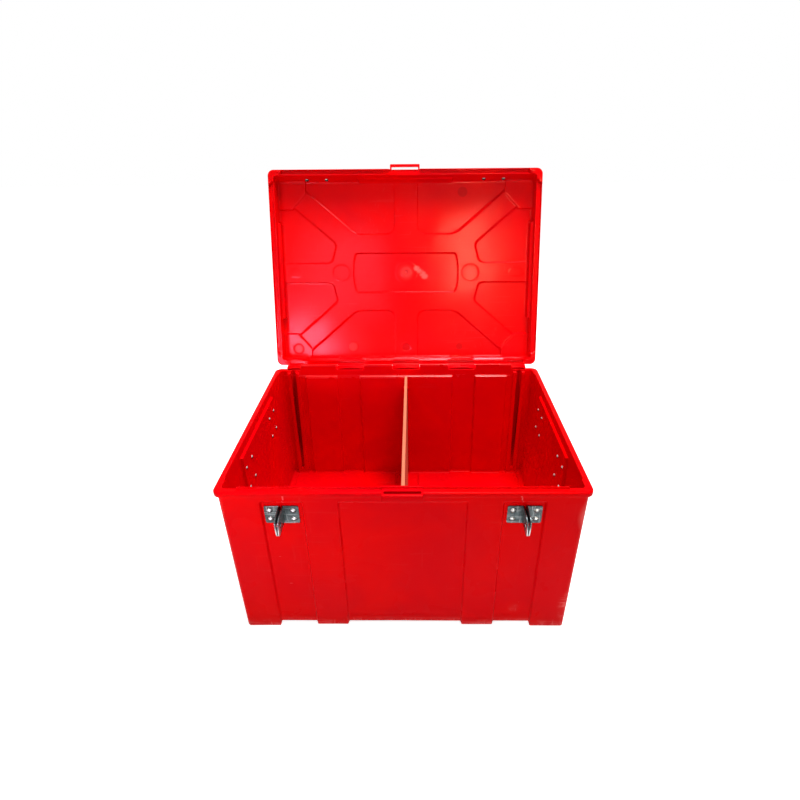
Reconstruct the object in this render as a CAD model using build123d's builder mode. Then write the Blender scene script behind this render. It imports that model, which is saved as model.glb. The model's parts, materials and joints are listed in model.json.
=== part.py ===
"""Specimen transport box: a drafted plastic tub with a hinged lid, two hasps, two drop handles and a divider.

Millimetres, +Z up. The origin is the middle of the tub's underside, on the plane that it stands on.
The front faces -Y, the hinge is at the back, and the lid is modelled fully open, against its stops.
"""
from build123d import *

import os
from math import atan, cos, radians, sin, sqrt, tan

os.makedirs("parts", exist_ok=True)

# ---------------------------------------------------------------- driving dimensions
RIM_W = 600.0            # over the rim, left to right
RIM_D = 435.0            # over the rim, front to back
BASE_H = 322.0           # ground to the rim's top face
LID_OPEN = 104.9         # opening angle of the lid, held by the hinge stops
RIM_R = 13.0             # corner radius of both rims
RIM_T = 9.0              # height of both rim flanges

# Insets are measured inwards from the rim's outer edge.
WALL_TOP = 6.0           # tub wall, outside, at the rim
WALL_FOOT = 15.0         # tub wall, outside, at the ground
CAVITY_TOP = 12.0        # tub wall, inside, at the rim
CAVITY_FLOOR = 17.8      # tub wall, inside, at the floor
LIP_OUT = 9.7            # raised sealing lip, outer side
LIP_H = 4.0
FLOOR_Z = 42.0           # upper face of the tub's floor
FLOOR_T = 4.0
PAD_H = 4.5              # raised floor pad of each compartment
PANEL_DEEP = 4.5         # how far the wall panels are set in
PANEL_TOP = 300.0        # top of the panels outside
LEDGE_Z = 306.0          # top of the panels inside
SKIRT_DEEP = 8.5         # thickness of the skirt under the floor
BAND_IN, BAND_OUT = 103.0, 161.0      # edges of the raised bands, front and back, from the middle
POST_IN = 228.0          # inner edge of the corner posts, front and back
SIDE_POST_IN = 106.0     # inner edge of the corner posts on the sides

LID_GAP = 0.4            # between the closed rims
LID_WALL = 5.0           # lid wall, outside, at the mouth
LID_CAVITY = 8.5         # lid wall, inside, at the mouth
LID_DEEP = 45.0          # mouth to the inner face of the lid's panel
LID_T = 3.5
LID_DRAFT = 5.0
BEAM_H = 2.2             # raised beams inside the lid
CORNER_PAD_H = 4.0

HINGE_Y, HINGE_Z = 224.6, 318.0       # hinge axis
KNUCKLE_R = 6.5
PIN_R = 3.0
RUNNING = 0.06           # radial clearance of the hinge pins
LID_KNUCKLES = [(-275.0, -240.6), (-158.6, -96.4), (-30.9, 30.9), (96.4, 158.6), (240.6, 275.0)]
BASE_KNUCKLES = [(-239.8, -159.4), (-95.6, -31.7), (31.7, 95.6), (159.4, 239.8)]

LOOP_W, LOOP_OUT, LOOP_BAR = 65.0, 10.5, 6.2   # tie loops: width, reach, bar
SLOT_IN = 1.0            # their slot cuts this far into the rim
SADDLE_H, SADDLE_FRONT_H = 6.0, 3.5   # the tub's loop stands this far above its rim, at the lip and outside it
SADDLE_DROP = 10.5       # and reaches this far below the rim's top

STAPLE_X, STAPLE_Z = 196.0, 270.0     # middle of each staple plate
STAPLE_W, STAPLE_H, STAPLE_T = 56.0, 35.5, 2.0
STAPLE_RIVETS = (38.0, 17.5)          # rivet spacing along and up the wall
TONGUE_TIP = 242.5       # reach of the staple from the box's middle plane
TONGUE_HALF = 4.5        # half its width, over both leaves
LEAF_T = 2.5
PADLOCK_R = 5.0
PADLOCK_Y = 230.0

HASP_Y, HASP_Z = -216.6, BASE_H + 26.0  # hasp hinge axis with the lid closed
HASP_PIN_R = 2.0
HASP_KNUCKLE_R = 4.0
HASP_RIVET_Z = BASE_H + 32.0
STRAP_T, STRAP_W = 2.0, 34.0
STRAP_END = 236.0        # lower end of a closed strap
STRAP_SLOT_W, STRAP_SLOT_H = 13.0, 39.0

BRACKET_Y, BRACKET_Z = 82.0, 259.0    # middle of each handle bracket
BRACKET_W, BRACKET_H, BRACKET_T = 44.0, 58.0, 2.0
BRACKET_RIVETS = (33.0, 43.0)
BAIL_R = 4.0
BAIL_DROP = 55.0         # reach of the bail below its axis
BAIL_HALF = 52.0         # half the distance between the bail's legs
BAIL_BEND = 9.0
EYE_R = 6.5
GRIP_R, GRIP_LEN = 8.5, 84.0

DIVIDER_T = 5.6
DIVIDER_TOP = 309.0

RIVET_R = 2.0
HOLE_R = 2.1

HALF_W, HALF_D = RIM_W / 2, RIM_D / 2
WALL_SLOPE = (WALL_FOOT - WALL_TOP) / BASE_H
CAVITY_SLOPE = (CAVITY_FLOOR - CAVITY_TOP) / (BASE_H - FLOOR_Z)
LID_Z = BASE_H + LID_GAP
LID_TOP = LID_Z + LID_DEEP + LID_T


def wall_inset(z):
    """Inset of the tub wall's outside at height z."""
    return WALL_TOP + WALL_SLOPE * (BASE_H - z)


def cavity_inset(z):
    """Inset of the tub wall's inside at height z."""
    return CAVITY_TOP + CAVITY_SLOPE * (BASE_H - z)


def lid_inset(z, mouth):
    """Inset of a lid wall at closed height z, where it is mouth at the lid's mouth."""
    return mouth + (z - LID_Z) * tan(radians(LID_DRAFT))


def corner(inset):
    """Corner radius of an outline that is set in from the rim."""
    return max(RIM_R - inset * 0.5, 4.0)


def side_plane(side, inset, slope, z=0.0):
    """Plane on a sloping wall: its X runs along the wall, its Y up it and its Z outwards, with its origin at height z.
    inset is the wall's inset at that height, and slope is how much of it the wall loses for each unit of height."""
    tilt = atan(slope)
    out, down = cos(tilt), -sin(tilt)
    if side == "front":
        return Plane((0, -HALF_D + inset, z), x_dir=(1, 0, 0), z_dir=(0, -out, down))
    if side == "back":
        return Plane((0, HALF_D - inset, z), x_dir=(-1, 0, 0), z_dir=(0, out, down))
    if side == "right":
        return Plane((HALF_W - inset, 0, z), x_dir=(0, 1, 0), z_dir=(out, 0, down))
    return Plane((-HALF_W + inset, 0, z), x_dir=(0, -1, 0), z_dir=(-out, 0, down))


OUTER_FOOT = wall_inset(0)
INNER_FOOT = cavity_inset(0)
WALL_PANELS = {
    "front": [(-POST_IN, -BAND_OUT), (-BAND_IN, BAND_IN), (BAND_OUT, POST_IN)],
    "back": [(-POST_IN, -BAND_OUT), (-BAND_IN, BAND_IN), (BAND_OUT, POST_IN)],
    "left": [(-SIDE_POST_IN, SIDE_POST_IN)],
    "right": [(-SIDE_POST_IN, SIDE_POST_IN)],
}
RISER = 3.0              # the inner step of a panel stands this far outside its outer step


def prism(low_z, low_inset, high_z, high_inset, mode=Mode.ADD):
    """Drafted block between two rounded outlines, for the current part."""
    with BuildSketch(Plane.XY.offset(low_z), mode=Mode.PRIVATE) as low:
        RectangleRounded(RIM_W - 2 * low_inset, RIM_D - 2 * low_inset, corner(low_inset))
    with BuildSketch(Plane.XY.offset(high_z), mode=Mode.PRIVATE) as high:
        RectangleRounded(RIM_W - 2 * high_inset, RIM_D - 2 * high_inset, corner(high_inset))
    loft([low.sketch, high.sketch], ruled=True, mode=mode)


def slab(plane, x0, x1, y0, y1, near, far, mode):
    """Block on a plane, x0 to x1 and y0 to y1 in it, from near to far along its normal."""
    with BuildSketch(plane.offset(near), mode=Mode.PRIVATE) as face:
        with Locations(((x0 + x1) / 2, (y0 + y1) / 2)):
            Rectangle(x1 - x0, y1 - y0)
    extrude(face.sketch, amount=far - near, mode=mode)


def block(x0, x1, y0, y1, z0, z1, mode=Mode.ADD):
    """Upright block between two corners."""
    with Locations(((x0 + x1) / 2, (y0 + y1) / 2, (z0 + z1) / 2)):
        Box(x1 - x0, y1 - y0, z1 - z0, mode=mode)


def rod_x(x0, x1, y, z, r, mode=Mode.ADD):
    """Round bar, or hole, along X."""
    with BuildSketch(Plane.YZ.offset(x0), mode=Mode.PRIVATE) as disc:
        with Locations((y, z)):
            Circle(r)
    extrude(disc.sketch, amount=x1 - x0, mode=mode)


HINGE = Axis((0, HINGE_Y, HINGE_Z), (1, 0, 0))


def save(piece, name, opened=False):
    """Label a finished piece and write its STEP. Pieces on the lid are made closed and turned open here."""
    solid = piece.part.rotate(HINGE, -LID_OPEN) if opened else piece.part
    solid.label = name
    export_step(solid, f"parts/{name}.step")
    print(name, solid.is_valid, len(solid.solids()), round(solid.volume / 1000, 2))


def panel_plane(side):
    """Plane on the outer face of a side's set-in panels."""
    return side_plane(side, OUTER_FOOT + PANEL_DEEP, WALL_SLOPE)


def rivet_places(plane, u, v, spacing_u, spacing_v, lift):
    """Places of a rectangle of four rivets on a plane, at the outer face of a plate that is lift thick."""
    places = []
    for du in (-spacing_u / 2, spacing_u / 2):
        for dv in (-spacing_v / 2, spacing_v / 2):
            places.append(plane.offset(lift).location * Location((u + du, v + dv, 0)))
    return places


STAPLE_RIVET_PLACES = []
for staple_x in (-STAPLE_X, STAPLE_X):
    STAPLE_RIVET_PLACES += rivet_places(panel_plane("front"), staple_x, STAPLE_Z, *STAPLE_RIVETS, STAPLE_T)
BRACKET_RIVET_PLACES = []
for bracket_side in ("left", "right"):
    for bracket_u in (-BRACKET_Y, BRACKET_Y):
        BRACKET_RIVET_PLACES += rivet_places(panel_plane(bracket_side), bracket_u, BRACKET_Z,
                                             *BRACKET_RIVETS, BRACKET_T)


def dome_height(r, rise, x):
    """Height at radius x of a spherical cap of radius r and height rise."""
    ball = (r * r + rise * rise) / (2 * rise)
    return rise - ball + sqrt(ball * ball - x * x)


def rivet(shank, head_r=4.5, head_h=2.6, tail_r=3.4, tail_h=1.7):
    """Domed rivet with its head's flat side at Z = 0, its shank below that and a set tail under the shank."""
    head_mid, tail_mid = head_r * 0.6, tail_r * 0.6
    with BuildPart() as piece:
        with BuildSketch(Plane.XZ):
            with BuildLine():
                Line((0, head_h), (0, -shank - tail_h))
                ThreePointArc((0, -shank - tail_h), (tail_mid, -shank - dome_height(tail_r, tail_h, tail_mid)),
                              (tail_r, -shank))
                Polyline((tail_r, -shank), (RIVET_R, -shank), (RIVET_R, 0), (head_r, 0))
                ThreePointArc((head_r, 0), (head_mid, dome_height(head_r, head_h, head_mid)), (0, head_h))
            make_face()
        revolve(axis=Axis.Z)
    return piece.part


def rivet_group(places, shank, name, opened=False):
    """One node of identical rivets."""
    single = rivet(shank)
    with BuildPart() as group:
        with Locations(*places):
            add(single)
    save(group, name, opened)


# ---------------------------------------------------------------- tub
FEET_LIFT = {"panel": 8.0, "band": 4.0}     # how far the wall stops above the ground
STOP_Y0, STOP_Y1, STOP_Z = 230.5, 236.0, 321.8
GROOVE_X = 258.0                            # slot in each back and front corner post
GROOVE_TOP, GROOVE_FOOT, GROOVE_DEEP = 11.0, 6.5, 8.0
GROOVE_Z = 58.0
GROOVE_PAD_W, GROOVE_PAD_T = 27.0, 5.0
GUIDE_T, GUIDE_DEEP, GUIDE_TOP = 3.0, 4.0, 282.0
LIP_X, LIP_Y = 262.0, 183.0                 # the lip stops short of the corners
RIB_LOW, FOOT_R = 33.0, 16.0                # ribs under the floor, and the middle foot

with BuildPart() as base_shell:
    prism(0, OUTER_FOOT, BASE_H, WALL_TOP)
    prism(BASE_H - RIM_T - 4, wall_inset(BASE_H - RIM_T - 4), BASE_H - RIM_T, 0)
    prism(BASE_H - RIM_T, 0, BASE_H, 0)
    # lip, with a saddle at the tie loop
    for y in (-1, 1):
        y_out, y_in = y * (HALF_D - LIP_OUT), y * (HALF_D - CAVITY_TOP)
        block(-LIP_X, LIP_X, min(y_out, y_in), max(y_out, y_in), BASE_H - 1, BASE_H + LIP_H)
    for x in (-1, 1):
        x_out, x_in = x * (HALF_W - LIP_OUT), x * (HALF_W - CAVITY_TOP)
        block(min(x_out, x_in), max(x_out, x_in), -LIP_Y, LIP_Y, BASE_H - 1, BASE_H + LIP_H)
    block(-LOOP_W / 2, LOOP_W / 2, -HALF_D - LOOP_OUT, -HALF_D + CAVITY_TOP,
          BASE_H - SADDLE_DROP, BASE_H + SADDLE_FRONT_H)
    block(-LOOP_W / 2, LOOP_W / 2, -HALF_D + LIP_OUT - 2, -HALF_D + CAVITY_TOP, BASE_H, BASE_H + SADDLE_H)
    # inside
    prism(FLOOR_Z, CAVITY_FLOOR, BASE_H + 0.001, CAVITY_TOP, mode=Mode.SUBTRACT)
    for side, panels in WALL_PANELS.items():
        inner = side_plane(side, INNER_FOOT, CAVITY_SLOPE)
        outer = side_plane(side, OUTER_FOOT, WALL_SLOPE)
        for x0, x1 in panels:
            slab(inner, x0 - RISER, x1 + RISER, FLOOR_Z - 2, LEDGE_Z, 1, -PANEL_DEEP, Mode.ADD)
            slab(outer, x0, x1, -10, PANEL_TOP, 3, -PANEL_DEEP, Mode.SUBTRACT)
    for side in (-1, 1):
        with Locations((side * 145.0, 0, FLOOR_Z + PAD_H / 2 - 1)):
            Box(236.0, 2 * (HALF_D - CAVITY_FLOOR - 5.5), PAD_H + 2)
    # divider guides and corner slots
    for side in ("front", "back"):
        inner = side_plane(side, INNER_FOOT, CAVITY_SLOPE)
        for x in (-1, 1):
            x_rib = x * (DIVIDER_T / 2 + 0.4 + GUIDE_T / 2)
            slab(inner, x_rib - GUIDE_T / 2, x_rib + GUIDE_T / 2, FLOOR_Z - 1, GUIDE_TOP,
                 0, -PANEL_DEEP - GUIDE_DEEP, Mode.ADD)
            x_pad = x * GROOVE_X
            slab(inner, x_pad - GROOVE_PAD_W / 2, x_pad + GROOVE_PAD_W / 2, FLOOR_Z - 1, BASE_H - 3,
                 1, -GROOVE_PAD_T, Mode.ADD)
            with BuildSketch(inner.offset(-GROOVE_PAD_T - 1)):
                with BuildLine():
                    Polyline((x_pad - GROOVE_FOOT / 2, GROOVE_Z), (x_pad + GROOVE_FOOT / 2, GROOVE_Z),
                             (x_pad + GROOVE_TOP / 2, BASE_H), (x_pad - GROOVE_TOP / 2, BASE_H), close=True)
                make_face()
            extrude(amount=GROOVE_DEEP + 1, mode=Mode.SUBTRACT)
    # underside: hollow skirt, ribs and a middle foot
    prism(-0.001, OUTER_FOOT + SKIRT_DEEP, FLOOR_Z - FLOOR_T, wall_inset(FLOOR_Z) + SKIRT_DEEP, mode=Mode.SUBTRACT)
    skirt_x = HALF_W - OUTER_FOOT - SKIRT_DEEP + 2
    skirt_y = HALF_D - OUTER_FOOT - SKIRT_DEEP + 2
    for y in (-120.0, 0.0, 120.0):
        block(-skirt_x, skirt_x, y - 1.75, y + 1.75, RIB_LOW, FLOOR_Z - 1)
    for x in (-195.0, -65.0, 65.0, 195.0):
        block(x - 1.75, x + 1.75, -skirt_y, skirt_y, RIB_LOW, FLOOR_Z - 1)
    with BuildSketch():
        Circle(FOOT_R)
    extrude(amount=FLOOR_Z - 1)
    for side in (-1, 1):
        y0, y1 = sorted((side * (HALF_D - OUTER_FOOT - SKIRT_DEEP - 1), side * HALF_D))
        for x0, x1 in WALL_PANELS["front"]:
            block(x0, x1, y0, y1, -1, FEET_LIFT["panel"], Mode.SUBTRACT)
        for x in (-1, 1):
            x0, x1 = sorted((x * BAND_IN, x * BAND_OUT))
            block(x0 - 0.5, x1 + 0.5, y0, y1, -1, FEET_LIFT["band"], Mode.SUBTRACT)
        x0, x1 = sorted((side * (HALF_W - OUTER_FOOT - SKIRT_DEEP - 1), side * HALF_W))
        block(x0, x1, -SIDE_POST_IN, SIDE_POST_IN, -1, FEET_LIFT["panel"], Mode.SUBTRACT)
    # tie slot through the loop
    slot_out = HALF_D + LOOP_OUT - LOOP_BAR
    block(-LOOP_W / 2 + 3.5, LOOP_W / 2 - 3.5, -slot_out, -HALF_D + SLOT_IN, BASE_H - 20, BASE_H + 10, Mode.SUBTRACT)
    # hinge knuckles on the back rim, stops behind them and room for the lid's knuckles
    for x0, x1 in BASE_KNUCKLES:
        rod_x(x0, x1, HINGE_Y, HINGE_Z, KNUCKLE_R)
        block(x0, x1, HALF_D - 6, HINGE_Y, BASE_H - RIM_T, HINGE_Z)
        block(x0 + 0.5, x1 - 0.5, HINGE_Y, STOP_Y1, BASE_H - RIM_T, HINGE_Z - 3)
        block(x0 + 0.5, x1 - 0.5, STOP_Y0, STOP_Y1, BASE_H - RIM_T, STOP_Z)
    for x0, x1 in LID_KNUCKLES:
        block(x0 + 1.5, x1 - 1.5, HALF_D - 6, HALF_D + 1, BASE_H - 30, BASE_H + 1, Mode.SUBTRACT)
    rod_x(-HALF_W, HALF_W, HINGE_Y, HINGE_Z, PIN_R + RUNNING, Mode.SUBTRACT)
    # rivet holes
    for place in STAPLE_RIVET_PLACES + BRACKET_RIVET_PLACES:
        with Locations(place):
            Hole(HOLE_R, depth=12.0)
save(base_shell, "base_shell")


with BuildPart() as hinge_pin:
    rod_x(-274.0, 274.0, HINGE_Y, HINGE_Z, PIN_R)
save(hinge_pin, "hinge_pin")


# ---------------------------------------------------------------- hasp staples
TONGUE_ROOT, TONGUE_BEND = 206.8, 235.0     # the leaves run straight between these reaches
LEAF_IN = TONGUE_HALF - LEAF_T              # half the gap between the two leaves
NOSE_HALF, NOSE_H = 2.2, 16.0
TUB_WALL = 5.75                             # thickness that the tub's rivets clamp


def staple(x):
    """Pressed staple: two riveted wings and a folded tongue with a padlock hole through both leaves."""
    face = panel_plane("front")
    half_h = STAPLE_H / 2
    nose_y = -TONGUE_TIP + 0.4
    with BuildPart() as piece:
        with BuildSketch(Plane((x, 0, STAPLE_Z - half_h))):
            with BuildLine():
                Polyline((-LEAF_IN, -TONGUE_ROOT), (-TONGUE_HALF, -TONGUE_ROOT), (-TONGUE_HALF, -TONGUE_BEND))
                ThreePointArc((-TONGUE_HALF, -TONGUE_BEND), (-4.2, -TONGUE_BEND - 4.2), (-NOSE_HALF, nose_y))
                ThreePointArc((-NOSE_HALF, nose_y), (0, -TONGUE_TIP), (NOSE_HALF, nose_y))
                ThreePointArc((NOSE_HALF, nose_y), (4.2, -TONGUE_BEND - 4.2), (TONGUE_HALF, -TONGUE_BEND))
                Polyline((TONGUE_HALF, -TONGUE_BEND), (TONGUE_HALF, -TONGUE_ROOT), (LEAF_IN, -TONGUE_ROOT),
                         (LEAF_IN, -TONGUE_BEND), (0, -TONGUE_BEND - 4), (-LEAF_IN, -TONGUE_BEND),
                         (-LEAF_IN, -TONGUE_ROOT))
            make_face()
        extrude(amount=STAPLE_H)
        with BuildSketch(Plane((x - 10, 0, STAPLE_Z), x_dir=(0, 1, 0), z_dir=(1, 0, 0))):
            with BuildLine():
                Polyline((-225, half_h), (-200, half_h), (-200, -half_h), (-225, -half_h))
                ThreePointArc((-225, -half_h), (-237.5, -half_h + 2.2), (-TONGUE_TIP, -NOSE_H / 2))
                Line((-TONGUE_TIP, -NOSE_H / 2), (-TONGUE_TIP, NOSE_H / 2))
                ThreePointArc((-TONGUE_TIP, NOSE_H / 2), (-237.5, half_h - 2.2), (-225, half_h))
            make_face()
        extrude(amount=20, mode=Mode.INTERSECT)
        with BuildSketch(face.offset(0.05)):
            with Locations((x, STAPLE_Z)):
                RectangleRounded(STAPLE_W, STAPLE_H, 3.0)
                Rectangle(2 * LEAF_IN, STAPLE_H + 1, mode=Mode.SUBTRACT)
        extrude(amount=STAPLE_T - 0.05)
        rod_x(x - 10, x + 10, -PADLOCK_Y, STAPLE_Z, PADLOCK_R, Mode.SUBTRACT)
        for place in STAPLE_RIVET_PLACES:
            with Locations(place):
                Hole(HOLE_R, depth=8.0)
    return piece


for side_name, side_sign in (("left", -1), ("right", 1)):
    save(staple(side_sign * STAPLE_X), f"hasp_staple_{side_name}")
    half = [p for p in STAPLE_RIVET_PLACES if p.position.X * side_sign > 0]
    rivet_group(half, STAPLE_T + TUB_WALL, f"staple_rivets_{side_name}")


# ---------------------------------------------------------------- side handles
BAIL_X = HALF_W - wall_inset(BRACKET_Z) - PANEL_DEEP + BRACKET_T + EYE_R + 0.3
EYE_IN, EYE_OUT = BAIL_HALF + BAIL_BEND + 1.5, BRACKET_Y + BRACKET_W / 2 - 1.5


def handle_bracket(side, end):
    """Riveted plate with a rolled eye for one end of the bail. side and end are -1 or 1 along X and Y."""
    face = panel_plane("right" if side > 0 else "left")
    along = side * end * BRACKET_Y
    y0, y1 = sorted((end * EYE_IN, end * EYE_OUT))
    with BuildPart() as piece:
        with BuildSketch(Plane.XZ.offset(-y1)):
            with Locations((side * BAIL_X, BRACKET_Z)):
                Circle(EYE_R)
            with Locations((side * (BAIL_X - EYE_R), BRACKET_Z)):
                Rectangle(2 * EYE_R, 2 * EYE_R)
        extrude(amount=y1 - y0)
        with BuildSketch(Plane.XZ.offset(-y1 - 1)):
            with Locations((side * BAIL_X, BRACKET_Z)):
                Circle(BAIL_R + RUNNING)
        extrude(amount=y1 - y0 + 2, mode=Mode.SUBTRACT)
        slab(face, along - BRACKET_W, along + BRACKET_W, BRACKET_Z - 50, BRACKET_Z + 50, -30, 0.05, Mode.SUBTRACT)
        with BuildSketch(face.offset(0.05)):
            with Locations((along, BRACKET_Z)):
                RectangleRounded(BRACKET_W, BRACKET_H, 4.0)
        extrude(amount=BRACKET_T - 0.05)
        for place in BRACKET_RIVET_PLACES:
            with Locations(place):
                Hole(HOLE_R, depth=8.0)
    return piece


def bail(side):
    """Drop handle's round bar: a U that hangs from its two ends."""
    end = EYE_OUT - 1.0
    x, low = side * BAIL_X, BRACKET_Z - BAIL_DROP
    with BuildPart() as piece:
        with BuildLine() as path:
            FilletPolyline((x, -end, BRACKET_Z), (x, -BAIL_HALF, BRACKET_Z), (x, -BAIL_HALF, low),
                           (x, BAIL_HALF, low), (x, BAIL_HALF, BRACKET_Z), (x, end, BRACKET_Z), radius=BAIL_BEND)
        with BuildSketch(Plane.XZ.offset(end)):
            with Locations((x, BRACKET_Z)):
                Circle(BAIL_R)
        sweep(path=path.line)
    return piece


def grip(side):
    """Moulded sleeve on the straight of the bail."""
    with BuildPart() as piece:
        with BuildSketch(Plane.XZ.offset(-GRIP_LEN / 2)):
            with Locations((side * BAIL_X, BRACKET_Z - BAIL_DROP)):
                Circle(GRIP_R)
                Circle(BAIL_R + 0.02, mode=Mode.SUBTRACT)
        extrude(amount=GRIP_LEN)
        fillet(piece.edges().filter_by(GeomType.CIRCLE).group_by(SortBy.RADIUS)[-1], 2.0)
    return piece


for side_name, side_sign in (("left", -1), ("right", 1)):
    for end_name, end_sign in (("front", -1), ("rear", 1)):
        save(handle_bracket(side_sign, end_sign), f"handle_bracket_{side_name}_{end_name}")
    half = [p for p in BRACKET_RIVET_PLACES if p.position.X * side_sign > 0]
    rivet_group(half, BRACKET_T + TUB_WALL, f"handle_rivets_{side_name}")
    save(bail(side_sign), f"handle_bail_{side_name}")
    save(grip(side_sign), f"handle_grip_{side_name}")


# ---------------------------------------------------------------- divider
DIVIDER_GAP = 0.7
DIVIDER_FOOT = FLOOR_Z + 0.4
FOOT_HALF, TOP_HALF = (HALF_D - cavity_inset(z) - PANEL_DEEP - DIVIDER_GAP for z in (DIVIDER_FOOT, DIVIDER_TOP))

with BuildPart() as divider:
    with BuildSketch(Plane.YZ.offset(-DIVIDER_T / 2)):
        with BuildLine():
            Polyline((-FOOT_HALF, DIVIDER_FOOT), (FOOT_HALF, DIVIDER_FOOT), (TOP_HALF, DIVIDER_TOP),
                     (-TOP_HALF, DIVIDER_TOP), close=True)
        make_face()
    extrude(amount=DIVIDER_T)
save(divider, "divider")


# ---------------------------------------------------------------- lid
LID_SLOPE = tan(radians(LID_DRAFT))
LID_PANEL_UP = 25.0                         # the lid's wall panels start this far above its mouth
LID_PANEL_DEEP = {"front": 3.0, "back": 3.0, "left": 6.0, "right": 6.0}
LID_MOUTH = dict.fromkeys(("front", "back", "left", "right"), LID_WALL)   # insets of the outer walls at the mouth
LID_CREST = {"front": lid_inset(LID_TOP, LID_WALL), "back": 6.2, "left": 8.2, "right": 8.2}      # and at the top
LID_INSIDE = dict.fromkeys(("front", "back", "left", "right"), LID_CAVITY)   # insets of the inner walls at the mouth
LID_FOOT = {"front": 19.5, "back": 9.4, "left": 11.5, "right": 11.5}     # and at the lid's panel
RELIEF_Y = (LID_FOOT["front"] - LID_FOOT["back"]) / 2 + 1.1              # middle of the relief on the panel
PANEL_IN_Z = LID_Z + LID_DEEP               # inner face of the lid's panel
HASP_X = STAPLE_X + 2.0                     # middle of each hasp
HASP_RIVETS = 44.0                          # rivet spacing
FLAT_R, FLAT_IN, FLAT_REACH = 4.2, 0.6, 8.0  # flat for a rivet's tail: radius, depth at its middle, reach of its cutter
HASP_CLAMP = (LID_CAVITY - LID_WALL - FLAT_IN     # thickness that the hasps' rivets clamp
              + (HASP_RIVET_Z - LID_Z) * ((LID_FOOT["front"] - LID_CAVITY) / LID_DEEP - LID_SLOPE))
LID_WALL_PANELS = {
    "front": [(-BAND_IN, BAND_IN)],
    "back": WALL_PANELS["back"],
    "left": WALL_PANELS["left"],
    "right": WALL_PANELS["right"],
}


def lid_plane(side):
    """Plane on the outer face of a lid wall, with its origin at the lid's mouth."""
    return side_plane(side, LID_WALL, (LID_WALL - LID_CREST[side]) / (LID_TOP - LID_Z), LID_Z)


def lid_block(low_z, low, high_z, high, mode=Mode.ADD):
    """Drafted block between two rounded outlines that are set in by their own amount on each side."""
    outlines = []
    for z, inset in ((low_z, low), (high_z, high)):
        with BuildSketch(Plane.XY.offset(z), mode=Mode.PRIVATE) as outline:
            with Locations((0, (inset["front"] - inset["back"]) / 2)):
                RectangleRounded(RIM_W - inset["left"] - inset["right"], RIM_D - inset["front"] - inset["back"],
                                 corner(inset["left"]))
        outlines.append(outline.sketch)
    loft(outlines, ruled=True, mode=mode)


def hasp_rivet_places(sign):
    """Places of a hasp's two rivets, at the outer face of its plate."""
    face = lid_plane("front").offset(STAPLE_T)
    rise = HASP_RIVET_Z - LID_Z
    return [face.location * Location((sign * HASP_X + dx, rise, 0)) for dx in (-HASP_RIVETS / 2, HASP_RIVETS / 2)]


def beam_pattern(reach, shrink):
    """Beams of the lid's panel: a cross, four diagonals and a middle field around a plaque.
    The cross stops at reach from the rim's edge, and every beam is shrink narrower."""
    trim = shrink / 2
    with BuildSketch(mode=Mode.PRIVATE) as pattern:
        Rectangle(2 * (HALF_W - reach), 45 - shrink)
        Rectangle(53 - shrink, 2 * (HALF_D - reach))
        for sx in (-1, 1):
            for sy in (-1, 1):
                with Locations((sx * 193, sy * 125)):
                    Rectangle(150, 45 - shrink, rotation=sx * sy * 40.8)
        with BuildSketch(mode=Mode.PRIVATE) as field:
            with BuildLine():
                Polyline((0, 0), (0, 88 - trim), (125 - trim, 88 - trim), (160 - trim, 66 - trim))
                ThreePointArc((160 - trim, 66 - trim), (165.5 - trim, 44), (174 - trim, 22))
                Polyline((174 - trim, 22), (174 - trim, 0), (0, 0))
            make_face()
            mirror(about=Plane.XZ)
            mirror(about=Plane.YZ)
        add(field.sketch)
        with BuildSketch(mode=Mode.PRIVATE) as plaque:
            with BuildLine():
                Polyline((0, 0), (0, 44.8 + trim), (113 + trim, 44.8 + trim), (118 + trim, 38 + trim))
                ThreePointArc((118 + trim, 38 + trim), (121 + trim, 19), (122 + trim, 0))
                Line((122 + trim, 0), (0, 0))
            make_face()
            mirror(about=Plane.XZ)
            mirror(about=Plane.YZ)
        add(plaque.sketch, mode=Mode.SUBTRACT)
    return pattern.sketch


beams_inside = beam_pattern(11.0, 0.0)
beams_outside = beam_pattern(24.0, 5.0)

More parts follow.
